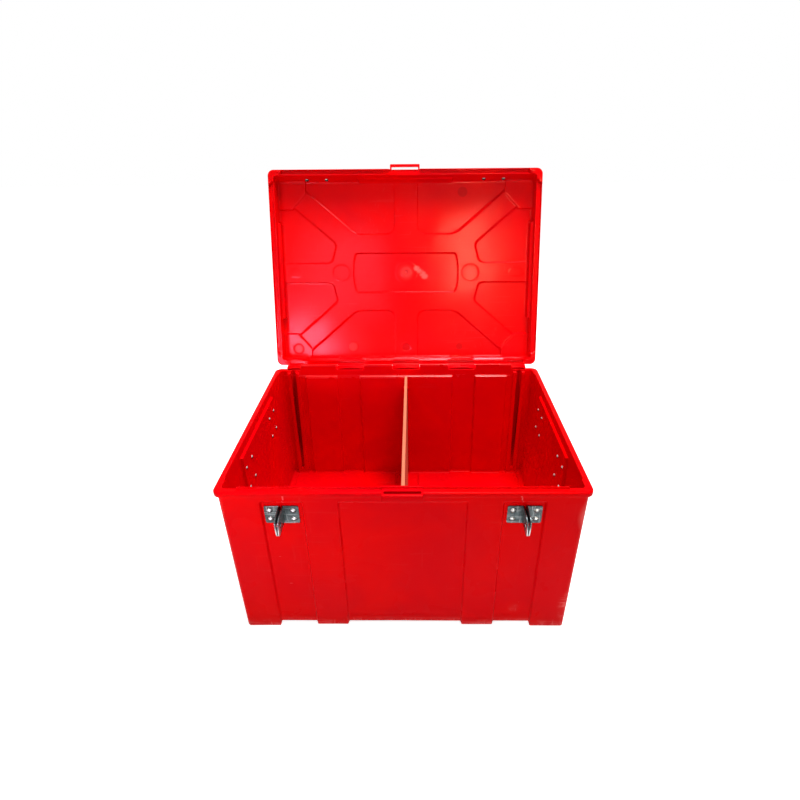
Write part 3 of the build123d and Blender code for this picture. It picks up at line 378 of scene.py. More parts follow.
def lid_frame():
    """The lid's walls, with the rebated mouth, its flange and the rounded edge of the top."""
    edges = PANEL_EDGES + [(34, 1), (LOOP_HALF - LOOP_SIDE, 1), (BLOCK_X, 4), (BLOCK_X - 4, 4)]
    for low, high in BASE_KNUCKLES[2:]:
        edges += [(low - 1.5, 1), (high + 1.5, 1)]
    xs = samples(HALF_W - RIM_R, 8.0, *zip(*edges))
    ys = samples(HALF_D - RIM_R, 9.0, (SIDE_POST_IN, SIDE_POST_IN + GROW, BLOCK_Y, BLOCK_Y - 4), (5, 5, 4, 4))
    path = Path(xs, ys)
    outside, inside = lid_wall_panels(path, 0), lid_wall_panels(path, GROW)
    notch = band(path.x, -34, 34, 1.0) * path.front
    slot = loop_slot(path)
    around = np.where(path.long, path.x, path.y) * ~path.corner
    lift = notch * SADDLE_H
    tab = np.zeros(path.count)
    for low, high in BASE_KNUCKLES:
        tab += band(path.x, low - 1.5, high + 1.5, 1.0) * path.back

    def loop(inset, up, front=None, back=None, raised=True):
        """Loop at a height above the mouth. inset is the sides'; stretching along Y sets front and back."""
        z = np.broadcast_to(LID_Z + up, path.count)
        points = path.points(inset, np.maximum(z, LID_Z + lift) if raised else z)
        if front is not None:
            side = HALF_D - np.min(inset)
            points[:, 1] = points[:, 1] * (2 * HALF_D - front - back) / (2 * side) + (front - back) / 2
        return points

    def outer(up):
        """Outer wall at a height above the mouth."""
        t = up / (LID_DEEP + LID_T)
        inset = LID_WALL + 3.2 * t + outside * rise(up, LID_PANEL_UP, 4.0)
        return inset, up, LID_WALL + 4.2 * t, LID_WALL + 1.2 * t

    def inner(up):
        """Inner wall at a height above the mouth."""
        t = (up - 5.0) / (LID_DEEP - 5.0)
        inset = RIDGE_IN + (LID_SIDE_FOOT - RIDGE_IN) * t + inside * rise(up, LID_PANEL_UP - 3, 3)
        back = 12.2 - 2.4 * rise(up, 8.0, 3.0) - 0.8 * t
        back = back + (8.9 - back) * tab
        return (inset + 0.1 * ripple(around, LID_Z + up, 21) * ~path.corner, up,
                RIDGE_IN + (LID_FRONT_FOOT - RIDGE_IN) * t, back)

    loops = []
    # mouth, from the inner edge outwards: flush at the corners, and a rebate behind a low ridge between them
    for inset, flush, rebate in ((RIDGE_IN, 0.9, 5.2), (12.1, 0.3, 4.6), (11.8, 0.05, 4.25), (11.4, 0, 4.2),
                                 (9.4, 0, 4.2), (9.0, 0, 4.3), (8.75, 0, 4.7), (8.65, 0, 6.4), (8.4, 0, 7.0),
                                 (5.0, 0, 7.0), (1.9, 0, 7.0), (1.6, 0, 6.6), (1.45, 0, 1.2), (1.25, 0, 0.5),
                                 (0.95, 0, 0.25), (0.6, 0.12, 0.3), (0.25, 0.45, 0.55), (0.06, 1.0, 1.1),
                                 (0.0, 1.8, 1.8)):
        end = 3.2 - 0.62 * inset
        block_x, block_y = rise(np.abs(path.x), BLOCK_X - end, 1.6), rise(np.abs(path.y), BLOCK_Y - end, 1.6)
        share = np.where(path.corner, 0, 1 - np.where(path.long, block_x, block_y))
        cut, up = (8.8 + 0.03 * (inset - 8.8), max(rebate, 6.5)) if inset > 8.6 else (inset, rebate)
        up = flush + (rebate - flush + (up - rebate) * tab) * share
        loops.append(loop(np.maximum(inset + (cut - inset) * tab, slot), up))
    # flange and outer wall
    top, edge_r = LID_DEEP + LID_T, 6
    levels = np.concatenate((np.arange(12.2, 22, 3), np.arange(22.5, 28, 0.8), span(29, top - edge_r, 4)))
    loops += [loop(np.maximum(inset, slot), up) for inset, up in (
        (0, 6.2), (0.15, 7.4), (0.7, 8.3), (1.6, 8.9))]
    loops += [loop(outer(up)[0] * share, up) for share, up in ((0.5, 9.4), (0.75, 10.1), (0.92, 11.2))]
    loops += [loop(*outer(up)) for up in levels]
    # rounded top edge, then a border above the middle field
    at, start, front, back = outer(top - edge_r)
    for t in (0.2, 0.4, 0.6, 0.8, 1.0):
        over, up = edge_r * (1 - cos(t * pi / 2)), start + edge_r * sin(t * pi / 2)
        loops.append(loop(at + over, up, front + over, back + over, raised=False))
    loops += [loop(np.maximum(inset, at + 7), top + up, raised=False) for inset, up in (
        (21, 0), (22, -0.15), (22.6, -0.6), (23, -1.4), (23, -2.4))]
    # inner wall, down to the mouth
    loops.append(loop(np.maximum(22, at + 6.5), LID_DEEP + 0.9, raised=False))
    levels = np.concatenate(([LID_DEEP + 0.9], span(LID_DEEP - 2, 27, 4), np.arange(24.6, 19, -0.6),
                             [17, 12, 9.5, 8.5, 7.5, 6.5]))
    loops += [loop(*inner(up)) for up in levels]
    points, faces = swept(loops, closed=True)
    return mesh_piece("lid_frame", points, faces, opened=True)


def hull_distance(x, y, corners):
    """Signed distance to a convex outline given anticlockwise, negative inside it."""
    best = np.full(x.shape, -1e9)
    for (ax, ay), (bx, by) in zip(corners, corners[1:] + corners[:1]):
        length = hypot(bx - ax, by - ay)
        best = np.maximum(best, ((x - ax) * (by - ay) - (y - ay) * (bx - ax)) / length)
    return best


def blend_min(a, b, k):
    """The lesser of two distances, with the inner corner between them rounded over about k."""
    h = np.clip(0.5 + 0.5 * (b - a) / k, 0, 1)
    return b * (1 - h) + a * h - k * h * (1 - h)


def beams(x, y):
    """Distance to the lid's raised beams: a cross, a middle field and four diagonals."""
    upright = np.abs(x - 1) - 26.5
    x, y = np.abs(x), np.abs(y)
    field = hull_distance(x, y, [(-1, -1), (170, -1), (170, 22), (166, 42), (159.5, 65), (125, 88), (-1, 88)])
    field = np.where((x < 100) & (y < 60), -30.0, field)
    angle = radians(40.8)
    across = -(x - 236) * sin(angle) + (y - 162) * cos(angle)
    ahead = (x - 120) * cos(angle) + (y - 62) * sin(angle)
    diagonal = np.maximum(np.abs(across) - 22.8, -ahead)
    total = blend_min(field, upright, 22)
    total = blend_min(total, y - 22.4, 13)
    return blend_min(total, diagonal, 9)


def plaque(x, y):
    """Distance to the sunk plaque in the middle field."""
    outline = [(-1, -1), (122, -1), (121.6, 12), (119.5, 28), (117, 39), (113, 44.8), (-1, 44.8)]
    return hull_distance(np.abs(x), np.abs(y), outline)


def disc(x, y, mid_x, mid_y, radius, width):
    """1 inside a circle, with a soft edge."""
    return rise(radius - np.hypot(x - mid_x, y - mid_y), 0, width)


def on_lid(x, y):
    """Point on the beams of the open lid's inner face, given from the middle of the plaque."""
    return open_point(x, y + RELIEF_Y, PANEL_IN_Z - BEAM_H)


def lid_relief(x, y):
    """Height of the lid's inner face above its panel, towards the inside of the box."""
    y = y - RELIEF_Y
    height = BEAM_H * rise(-beams(x, y), 0.0, 3.0) * rise(plaque(x, y), 0.0, 2.4)
    pad = hull_distance(np.abs(x), np.abs(y), [(226, 176.5), (257, 143), (400, 143), (400, 400), (226, 400)])
    height = np.maximum(height, CORNER_PAD_H * rise(-pad, 0.0, 2.0))
    # rings at the ends of the plaque, the gate mark in the middle, then the ejector marks
    for mid_x, mid_y, radius, width, lift in (
            (-150, 0.4, 19.5, 2, 0.55), (-150, 0.4, 16, 9, -0.35), (150, 0.4, 19.5, 2, 0.55),
            (150, 0.4, 16, 9, -0.35), (1, -0.4, 26, 3, 0.4), (0.7, -0.4, 10.5, 2, 1.1),
            (0.7, -0.4, 5, 2, -1.2), (130, -180, 11.5, 1.6, -0.9), (-130, -180, 11, 1.6, -0.3),
            (-257, 179, 11, 1.6, 0.9), (-127, 175, 11, 1.6, 0.8), (0, 176.5, 10, 1.6, -0.8),
            (127, 175, 11, 1.6, 0.3)):
        height += lift * disc(x, y, mid_x, mid_y, radius, width)
    # long ovals on the ends of the horizontal beam
    for low, high, lift in ((240, 272, 0.45), (-270, -245, 0.35)):
        height += lift * disc(x, y, np.clip(x, low + 10, high - 10), 0, 10, 2.5)
    return height


def lid_panel():
    """The lid's field: relief inside, its grooves outside, as a closed slab whose edges lie in the walls."""
    xs = samples(HALF_W - LID_SIDE_FOOT + 0.8, 2.0, (26, 226, 199), (3, 2, 3))
    half = HALF_D - (LID_FRONT_FOOT + LID_BACK_FOOT) / 2
    ys = samples(half + 0.8, 2.0, (22, 44.8, 88, 143), (3, 2.4, 3, 2))
    ys = ys + (LID_FRONT_FOOT - LID_BACK_FOOT) / 2
    gx, gy = np.meshgrid(xs, ys, indexing="ij")
    front = LID_FRONT_FOOT + LID_PANEL_DEEP * band(gx, -BAND_IN - GROW, BAND_IN + GROW, STEP_W)
    back = sum(band(gx, low - GROW, high + GROW, STEP_W) for low, high in LONG_PANELS)
    y_wall = HALF_D - np.where(gy < 0, front, LID_BACK_FOOT + LID_PANEL_DEEP * back)
    side = band(gy, -SIDE_POST_IN - GROW, SIDE_POST_IN + GROW, STEP_W)
    x_wall = HALF_W - LID_SIDE_FOOT - LID_SIDE_DEEP * side
    gx = np.clip(gx, -x_wall - 0.8, x_wall + 0.8)
    gap = np.minimum(y_wall - np.abs(gy), x_wall - np.abs(gx))
    fillet_r = 3.0
    reach = np.clip(fillet_r - gap, 0, fillet_r)
    fillet = fillet_r - np.sqrt(fillet_r ** 2 - reach ** 2)
    low = PANEL_IN_Z - np.maximum(lid_relief(gx, gy), 0) - np.minimum(fillet, 2.6)
    low += 0.15 * ripple(gx, gy, 31)
    groove = rise(-beams(gx, gy - RELIEF_Y) - 2.5, 0.0, 3.0) * rise(plaque(gx, gy - RELIEF_Y) - 2.5, 0.0, 3.0)
    groove *= (1 - rise(np.abs(gx), 270, 4)) * (1 - rise(np.abs(gy), 188, 4))
    high = LID_TOP - 1.0 - BEAM_H * groove + 0.1 * ripple(gx, gy, 33)
    rows, cols = gx.shape
    count = rows * cols
    points = np.vstack([np.column_stack((gx.ravel(), gy.ravel(), z.ravel())) for z in (low, high)])
    faces = []
    for i in range(rows - 1):
        for j in range(cols - 1):
            a = i * cols + j
            faces.append((a, a + cols, a + cols + 1, a + 1))
            faces.append((count + a, count + a + 1, count + a + cols + 1, count + a + cols))
    border = ([i * cols for i in range(rows)] + [(rows - 1) * cols + j for j in range(1, cols)]
              + [i * cols + cols - 1 for i in range(rows - 2, -1, -1)] + list(range(cols - 2, 0, -1)))
    for a, b in zip(border, border[1:] + border[:1]):
        faces.append((a, b, count + b, count + a))
    return mesh_piece("lid_panel", points, faces, opened=True)


# ---------------- small moulded forms
def knuckle(name, low, high, reach, opened=False):
    """Bored knuckle on the hinge axis: reach gives its outline by angle."""
    x0, x1, soft, steps = low - KNUCKLE_GROW, high + KNUCKLE_GROW, 0.4, 48
    angles = np.linspace(0, 2 * pi, steps, endpoint=False)
    outline, hole = np.array([reach(a) for a in angles]), np.full(steps, BORE_R)
    loops = [(x0 + soft, outline), (x0 + 0.12, outline - 0.1), (x0, outline - soft), (x0, hole),
             (x1, hole), (x1, outline - soft), (x1 - 0.12, outline - 0.1), (x1 - soft, outline)]
    rows = [np.column_stack((np.full(steps, x), HINGE_Y + r * np.cos(angles), HINGE_Z + r * np.sin(angles)))
            for x, r in loops]
    points, faces = swept(rows, closed=True)
    return mesh_piece(name, points, faces, opened=opened)


def ray_to_box(angle, y0, y1, z0, z1):
    """How far a ray from the hinge axis runs inside a box that holds or touches the axis; 0 if it misses."""
    cy, cz = cos(angle), sin(angle)
    low, high = -1e9, 1e9
    for c, a, b in ((cy, y0 - HINGE_Y, y1 - HINGE_Y), (cz, z0 - HINGE_Z, z1 - HINGE_Z)):
        if abs(c) < 1e-9:
            if a > 0 or b < 0:
                return 0.0
            continue
        near, far = sorted((a / c, b / c))
        low, high = max(low, near), min(high, far)
    return max(high, 0.0) if low <= 1e-6 and high > 0 else 0.0


def base_reach(angle):
    return max(KNUCKLE_R, ray_to_box(angle, HALF_D - 4, HINGE_Y, BASE_H - RIM_T + 0.6, HINGE_Z))


def lid_reach(angle):
    arm = ray_to_box(angle, HALF_D + 0.6, HINGE_Y, HINGE_Z, LID_Z + 4.5)
    if sin(angle) > -0.6 * cos(angle):
        arm = max(arm, ray_to_box(angle, HALF_D - 3, HINGE_Y, HINGE_Z, LID_Z + 4.5))
    return max(KNUCKLE_R, arm)


def soft_block(name, x0, x1, y0, y1, z0, z1, width):
    corners = [(x, y, z) for x in (x0, x1) for y in (y0, y1) for z in (z0, z1)]
    faces = [(0, 1, 3, 2), (4, 6, 7, 5), (0, 4, 5, 1), (2, 3, 7, 6), (0, 2, 6, 4), (1, 5, 7, 3)]
    return bevel(mesh_piece(name, corners, faces), width)


def turned(name, profile, centre, along_y=False, opened=False):
    """Solid of revolution about Z, or about Y: profile lists radius and height, and both ends are capped."""
    steps = 28
    angles = np.linspace(0, 2 * pi, steps, endpoint=False)
    rows = []
    for r, h in profile:
        a, b, c = r * np.cos(angles), r * np.sin(angles), np.full(steps, h)
        rows.append(np.column_stack((a, c, b) if along_y else (a, b, c)) + centre)
    points, faces = swept(rows, closed=False)
    last = (len(rows) - 1) * steps
    faces += [list(range(steps)), list(range(last, last + steps))]
    return mesh_piece(name, points, faces, opened=opened)


def leaf_gap(z):
    """Half the gap between a staple's two leaves, which are folded along their lower edge."""
    return LEAF_GAP / 2 * np.clip((z - STAPLE_Z) / STAPLE_H + 0.5, 0, 1) ** 0.8


def staple_wing(name, x, side):
    """Riveted half of a staple's plate."""
    half, r = STAPLE_H / 2, 3.0
    turn = np.linspace(0, pi / 2, 6)
    top = [(STAPLE_HALF - r + r * sin(t), half - r + r * cos(t)) for t in turn]
    outline = top + [(u, -w) for u, w in top[::-1]]
    inner = [(leaf_gap(STAPLE_Z + w) + 0.2, w) for w in np.linspace(-half, half, 9)]
    outline = np.array(outline + inner)
    across, z = outline[:, 0], STAPLE_Z + outline[:, 1]
    wall = post_face(z) + PANEL_DEEP - HALF_D
    rows = [np.column_stack((x + side * across, wall - out, z)) for out in (-0.3, STAPLE_T)]
    points, faces = swept(rows, closed=False)
    count = len(outline)
    faces += [list(range(count)), list(range(count, 2 * count))]
    return bevel(mesh_piece(name, points, faces), 0.45, 2)


def staple_leaf(name, x, side):
    """One leaf of a staple's tongue, with the padlock hole through it."""
    half = STAPLE_H / 2
    turn = np.linspace(0, pi / 2, 10)
    nose = [(LEAF_TIP + 12 - 12 * sin(t), half - 9 + 9 * cos(t)) for t in turn]
    outline = np.array([(LEAF_ROOT, half)] + nose + [(y, -z) for y, z in nose[::-1]] + [(LEAF_ROOT, -half)])
    angles = np.arctan2(outline[:, 1], outline[:, 0] - PADLOCK_Y)
    outline = outline[np.argsort(angles)]
    angles = np.sort(angles)
    hole = np.column_stack((PADLOCK_Y + PADLOCK_R * np.cos(angles), PADLOCK_R * np.sin(angles)))
    rows = []
    for edge, out in ((outline, 0), (outline, 1), (hole, 1), (hole, 0)):
        z = STAPLE_Z + edge[:, 1]
        rows.append(np.column_stack((x + side * (leaf_gap(z) + LEAF_T * out), edge[:, 0], z)))
    points, faces = swept(rows, closed=True)
    return bevel(mesh_piece(name, points, faces), 0.5, 2)


def tie_loop(name, y_in, z0, z1, opened=False):
    """Flat loop on the middle of a front rim: a rounded plate with a slot through it."""
    def outline(half, y_out, y_back, r):
        turn = np.linspace(0, pi / 2, 6)
        left = [(-half, y_back)] + [(-half + r - r * cos(t), y_out + r - r * sin(t)) for t in turn]
        return left + [(-x, y) for x, y in left[::-1]]

    y_out = -HALF_D - LOOP_OUT
    outer = outline(LOOP_HALF, y_out, y_in, 2.2)
    hole = outline(LOOP_HALF - LOOP_SIDE, y_out + LOOP_BAR, SLOT_IN - HALF_D, 1.0)

    def rim(z, trim):
        return np.array([(x * (1 - trim / LOOP_HALF), y + trim * (y < y_in - 1), z) for x, y in outer])

    def slot(z, trim):
        return np.array([(x * (1 + trim / 30), y + (trim if y > -HALF_D - 2 else -trim), z) for x, y in hole])

    loops = [rim(z0 + 0.9, 0.0), rim(z0 + 0.25, 0.3), rim(z0, 0.9), slot(z0, 0.7), slot(z0 + 0.7, 0.0),
             slot(z1 - 0.7, 0.0), slot(z1, 0.7), rim(z1, 0.9), rim(z1 - 0.25, 0.3), rim(z1 - 0.9, 0.0)]
    points, faces = swept(loops, closed=True)
    return mesh_piece(name, points, faces, opened=opened)


# ---------------- materials
class Graph:
    """Shader nodes of a material or of the world."""

    def __init__(self, owner):
        owner.use_nodes = True
        self.nodes, self.links = owner.node_tree.nodes, owner.node_tree.links

    def node(self, kind, sockets, out=0, **settings):
        """New node: each socket takes a constant or another node's output."""
        made = self.nodes.new(kind)
        for key, value in settings.items():
            setattr(made, key, value)
        for key, value in sockets.items():
            if isinstance(value, bpy.types.NodeSocket):
                self.links.new(value, made.inputs[key])
            else:
                made.inputs[key].default_value = value
        return made.outputs[out]

    def math(self, operation, a, b=0.0):
        return self.node("ShaderNodeMath", {0: a, 1: b}, operation=operation)

    def times(self, a, b):
        return self.math("MULTIPLY", a, b)

    def seen_directly(self):
        """1 where the camera sees it directly, in metal or through glass; 0 as light on the object."""
        rays = self.nodes.new("ShaderNodeLightPath").outputs
        seen = self.math("MAXIMUM", rays["Is Camera Ray"], rays["Is Glossy Ray"])
        return self.math("MAXIMUM", seen, rays["Is Transmission Ray"])


class Finish(Graph):
    """A material made of procedural nodes, in object coordinates (metres in the frame)."""

    def __init__(self, name, roughness, metallic=0.0, specular=0.5):
        self.material = bpy.data.materials.new(name)
        super().__init__(self.material)
        self.shader = self.nodes["Principled BSDF"]
        self.shader.inputs["Roughness"].default_value = roughness
        self.shader.inputs["Metallic"].default_value = metallic
        self.shader.inputs["Specular IOR Level"].default_value = specular
        self.place = self.nodes.new("ShaderNodeTexCoord").outputs["Object"]

    def moved(self, scale=(1, 1, 1), rotation=(0, 0, 0), shift=(0, 0, 0)):
        return self.node("ShaderNodeMapping", {"Vector": self.place, "Scale": scale, "Rotation": rotation,
                                               "Location": shift})

    def noise(self, scale, detail=3.0, vector=None, twist=0.0, rough=0.5):
        return self.node("ShaderNodeTexNoise", {"Vector": vector or self.place, "Scale": scale,
                                                "Detail": detail, "Distortion": twist, "Roughness": rough})

    def step(self, value, low, high, to_low=0.0, to_high=1.0):
        sockets = {"Value": value, "From Min": low, "From Max": high, "To Min": to_low, "To Max": to_high}
        return self.node("ShaderNodeMapRange", sockets, interpolation_type="SMOOTHSTEP")

    def vector(self, operation, a, b=(0, 0, 0), out=0):
        return self.node("ShaderNodeVectorMath", {0: a, 1: b}, out, operation=operation)

    def mix(self, factor, a, b):
        return self.node("ShaderNodeMix", {0: factor, 6: a, 7: b}, out=2, data_type="RGBA")

    def patch(self, centre, radii, soft=0.5):
        """1 inside an ellipsoid given in millimetres, fading to 0 at its surface."""
        place = self.vector("SUBTRACT", self.place, [v / 1000 for v in centre])
        place = self.vector("DIVIDE", place, [v / 1000 for v in radii])
        reach = self.vector("LENGTH", place, out=1)
        return self.step(reach, 1.0, 1.0 - soft)

    def total(self, parts):
        """Greatest of several masks."""
        result = parts[0]
        for part in parts[1:]:
            result = self.math("MAXIMUM", result, part)
        return result

    def patches(self, soft, *places):
        """One mask of several patches, each given as centre and radii."""
        return self.total([self.patch(centre, radii, soft) for centre, radii in places])

    def scratches(self, seed, threshold=0.66, length=26.0, scale=7.0):
        """Fine lines in three directions."""
        lines = []
        for index, turn in enumerate((0.35, 1.25, 2.3)):
            across = self.moved((length, length, 1.2) if index % 2 else (1.2, length, length),
                                (turn, turn * 0.7, turn + seed), (seed, index, 0))
            lines.append(self.step(self.noise(scale, 2.0, across, 0.3), threshold, threshold + 0.025))
        return self.total(lines)

    def bump(self, height, distance, strength=1.0):
        made = self.node("ShaderNodeBump", {"Height": height, "Distance": distance, "Strength": strength})
        self.links.new(made, self.shader.inputs["Normal"])

    def feed(self, **sockets):
        for key, value in sockets.items():
            self.links.new(value, self.shader.inputs[key.replace("_", " ")])


def red_plastic(name, tint, shine, smooth_end, rough_end, waves):
    """Red moulding: cloudy colour, worn feet and corners, scuffs, ticks and hairline scratches. shine is the
    specular level, higher on the ledges along the hinge; smooth_end and rough_end bound the roughness, and
    waves is the strength of the bump."""
    red = Finish(name, 0.26)
    red.shader.inputs["Specular Tint"].default_value = tint
    height = red.node("ShaderNodeSeparateXYZ", {0: red.place}, out=2)
    cloud = red.step(red.noise(5.5, 4.0, twist=0.6), 0.35, 0.68)
    colour = red.mix(cloud, (0.76, 0.0, 0.0008, 1), (0.67, 0.0, 0.003, 1))
    # rubbed feet, and the worn right-hand corner post and band
    feet = red.step(height, 0.022, 0.0, 0.0, 0.8)
    corner = red.patches(0.9, ((292, -210, 52), (23, 34, 50)), ((197, -208, 45), (14, 20, 15)))
    worn = red.total([feet, corner])
    grain = red.step(red.noise(55.0, 5.0, rough=0.7), 0.46, 0.66)
    rub = red.times(worn, red.math("ADD", red.times(grain, 0.6), 0.1))
    bloom = red.times(red.patch((294, -214, 268), (15, 30, 38), 0.95), 0.6)
    hair = red.times(red.scratches(2.0), red.step(red.noise(9.0, 2.0), 0.5, 0.62, 0.0, 0.03))
    deep = red.times(red.scratches(5.0, 0.63, 20.0, 11.0), worn)
    # squiggles above the staples and small ticks on the front
    ticks = red.patches(
        0.6,
        ((-190, -212, 306), (1.8, 8, 5)), ((-192, -210, 296), (1.5, 6, 7)), ((-188, -217, 315), (2.4, 6, 2)),
        ((189, -212, 306), (1.6, 8, 6)), ((191, -210, 297), (1.8, 6, 6)), ((186, -217, 315), (2, 6, 2)),
        ((-211, -208, 174), (4, 8, 1.4)), ((216, -208, 150), (1.5, 8, 2)), ((-161, -210, 227), (2.2, 8, 2.6)),
        ((-163, -210, 150), (1.4, 8, 1.8)), ((-199, -205, 108), (5, 8, 1.3)), ((205, -205, 60), (2, 8, 1.6)))
    # pale smear beside the lid's gate mark
    smear = red.patches(0.6, *[(on_lid(x, y), (11, 9, 9)) for x, y in ((26, -9), (33, -3), (39, 3), (44, 9))])
    smear = red.times(smear, red.step(red.noise(90.0), 0.35, 0.6, 0.12, 0.5))
    # the gate mark's pale halo and the lid's paler ejector marks
    halo = red.times(red.patch(on_lid(1, 0), (22, 22, 22), 0.8), 0.16)
    discs = red.patches(0.2, *[(on_lid(x, y), (12, 12, 12)) for x, y in ((-257, 179), (-127, 175))])
    discs = red.times(discs, 0.09)
    marks = red.total([rub, bloom, hair, deep, red.times(ticks, 0.6), smear, halo, discs])
    pale = red.math("MINIMUM", marks, 1.0)
    colour = red.mix(pale, colour, (0.85, 0.16, 0.15, 1))
    # painted shade: darker colour in the corner slots and below the lid's knuckles, where shadow falls
    painted_shade = [red.patch((x, 206, 200), (8, 16, 150), 0.4) for x in (-258, 258)]
    painted_shade += [red.patch(((low + high) / 2, 219, 317.5), ((high - low) / 2 + 3, 8, 6), 0.35)
              for low, high in LID_KNUCKLES]
    colour = red.mix(red.times(red.total(painted_shade), 0.65), colour, (0.16, 0.0, 0.001, 1))
    # the lid's darker ejector marks and the pit of its gate mark
    sunk = red.patches(0.2, *[(on_lid(x, y), (r, r, r)) for x, y, r in (
        (130, -180, 12.5), (0, 176.5, 11), (127, 175, 9), (0.7, -0.4, 6))])
    colour = red.mix(red.times(sunk, 0.4), colour, (0.3, 0.0, 0.002, 1))
    rough = red.math("ADD", red.step(red.noise(8.0, 4.0, twist=0.5), 0.3, 0.7, smooth_end, rough_end),
                     red.times(pale, 0.3))
    ledges = red.patches(0.3, ((100, 206, 307), (900, 10, 6)), ((100, 207, 336), (900, 4, 5)),
                         ((140, 252, 329), (420, 16, 5)))
    red.feed(Base_Color=colour, Roughness=rough, Specular_IOR_Level=red.step(ledges, 0.0, 1.0, shine, 0.6))
    orange_peel, wave = red.noise(230.0, 2.0), red.noise(14.0, 2.0)
    red.bump(red.math("ADD", red.times(orange_peel, 0.05), wave), 0.0012, waves)
    return red.material


def plated_steel():
    """Zinc plate: mottled blue grey, with fine scratches, painted shade round the rivet heads and a painted
    highlight on the staples' noses.
    """
    steel = Finish("plated_steel", 0.34, 0.75, 0.4)
    mottle = steel.step(steel.noise(160.0, 4.0, rough=0.65), 0.35, 0.65)
    colour = steel.mix(mottle, (0.04, 0.053, 0.057, 1), (0.08, 0.1, 0.105, 1))
    dirt = steel.step(steel.noise(45.0), 0.5, 0.7, 0.0, 0.6)
    colour = steel.mix(dirt, colour, (0.04, 0.045, 0.045, 1))
    # painted shade: the plate darkened in a ring round each rivet head
    rings = steel.patches(0.35, *[((side * STAPLE_X + dx, -207.5, STAPLE_Z + dz), (6.6, 5, 6.6))
                                  for side in (-1, 1) for dx in (-19, 19) for dz in (-8.75, 8.75)])
    colour = steel.mix(steel.times(rings, 0.8), colour, (0.01, 0.01, 0.01, 1))
    fine = steel.times(steel.scratches(1.0, 0.62, 30.0, 18.0), 0.25)
    colour = steel.mix(fine, colour, (0.6, 0.63, 0.64, 1))
    # painted highlight: the fronts of the staples' noses lightened towards white
    nose_highlight = steel.patches(0.6, *[((side * STAPLE_X, -239, 264), (9, 9, 16)) for side in (-1, 1)])
    colour = steel.mix(steel.times(nose_highlight, 0.8), colour, (0.6, 0.61, 0.62, 1))
    steel.feed(Base_Color=colour, Roughness=steel.step(steel.noise(70.0), 0.3, 0.7, 0.24, 0.46))
    steel.bump(steel.noise(420.0), 0.0002, 0.3)
    return steel.material


def rivet_metal():
    """Set rivets: brighter than the plate, with a little dirt and painted shade on the lower side of each
    head.
    """
    metal = Finish("rivet_metal", 0.24, 0.4, 0.6)
    dirt = metal.step(metal.noise(330.0), 0.45, 0.7, 0.0, 0.7)
    colour = metal.mix(dirt, (0.86, 0.86, 0.85, 1), (0.5, 0.48, 0.46, 1))
    # painted shade: the lower side of each head darkened, away from the light
    facing = metal.node("ShaderNodeNewGeometry", {}, out=1)
    toward_light = metal.vector("DOT_PRODUCT", facing, (-0.1, -0.25, 0.96), out=1)
    colour = metal.mix(metal.step(toward_light, 0.6, 0.1), colour, (0.012, 0.013, 0.015, 1))
    metal.feed(Base_Color=colour, Roughness=metal.step(metal.noise(200.0, 2.0), 0.3, 0.7, 0.18, 0.34))
    return metal.material


def grip_rubber():
    """Matt black sleeve with dust in its grain."""
    rubber = Finish("grip_rubber", 0.6, specular=0.3)
    dust = rubber.step(rubber.noise(26.0, 4.0), 0.5, 0.75, 0.0, 0.35)
    rubber.feed(Base_Color=rubber.mix(dust, (0.016, 0.016, 0.017, 1), (0.09, 0.085, 0.08, 1)),
                Roughness=rubber.step(rubber.noise(60.0), 0.3, 0.7, 0.5, 0.75))
    rubber.bump(rubber.noise(900.0, 2.0), 0.0003, 0.5)
    return rubber.material


def board():
    """Plywood: long grain along the divider, plies on its edge and a few dark pores."""
    wood = Finish("board", 0.62, specular=0.25)
    grain = wood.noise(9.0, 5.0, wood.moved((40.0, 1.2, 14.0)), 1.2, 0.6)
    colour = wood.mix(wood.step(grain, 0.3, 0.7), (0.66, 0.19, 0.1, 1), (0.54, 0.13, 0.065, 1))
    pores = wood.step(wood.noise(60.0, 2.0, wood.moved((8.0, 1.0, 9.0))), 0.64, 0.72, 0.0, 0.5)
    colour = wood.mix(pores, colour, (0.3, 0.12, 0.05, 1))
    sockets = {"Vector": wood.place, "Scale": 220.0, "Distortion": 1.5, "Detail": 2.0}
    plies = wood.node("ShaderNodeTexWave", sockets, out=1, bands_direction="X")
    colour = wood.mix(wood.step(plies, 0.3, 0.7, 0.0, 0.18), colour, (0.42, 0.2, 0.1, 1))
    wood.feed(Base_Color=colour, Roughness=wood.step(grain, 0.3, 0.7, 0.5, 0.72))
    wood.bump(grain, 0.0004, 0.4)
    return wood.material


RED = red_plastic("red_plastic", (1, 0.5, 0.48, 1), 0.03, 0.22, 0.34, 0.04)
LID_RED = red_plastic("red_plastic_lid", (1, 0.34, 0.42, 1), 0.14, 0.13, 0.22, 0.25)
STEEL, RIVET, BLACK, BOARD = plated_steel(), rivet_metal(), grip_rubber(), board()


def dress(obj, material, body, slot, *nodes):
    """Gives a piece its material and body, and hides the CAD nodes that it stands for. slot is not used."""
    obj.data.materials.clear()
    obj.data.materials.append(material)
    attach(obj, body)
    if nodes:
        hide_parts(*nodes)


def tub_part(obj, *nodes):
    dress(obj, RED, "base", "red_plastic", *nodes)


def lid_part(obj, *nodes, material=LID_RED):
    dress(obj, material, "lid", "red_plastic", *nodes)


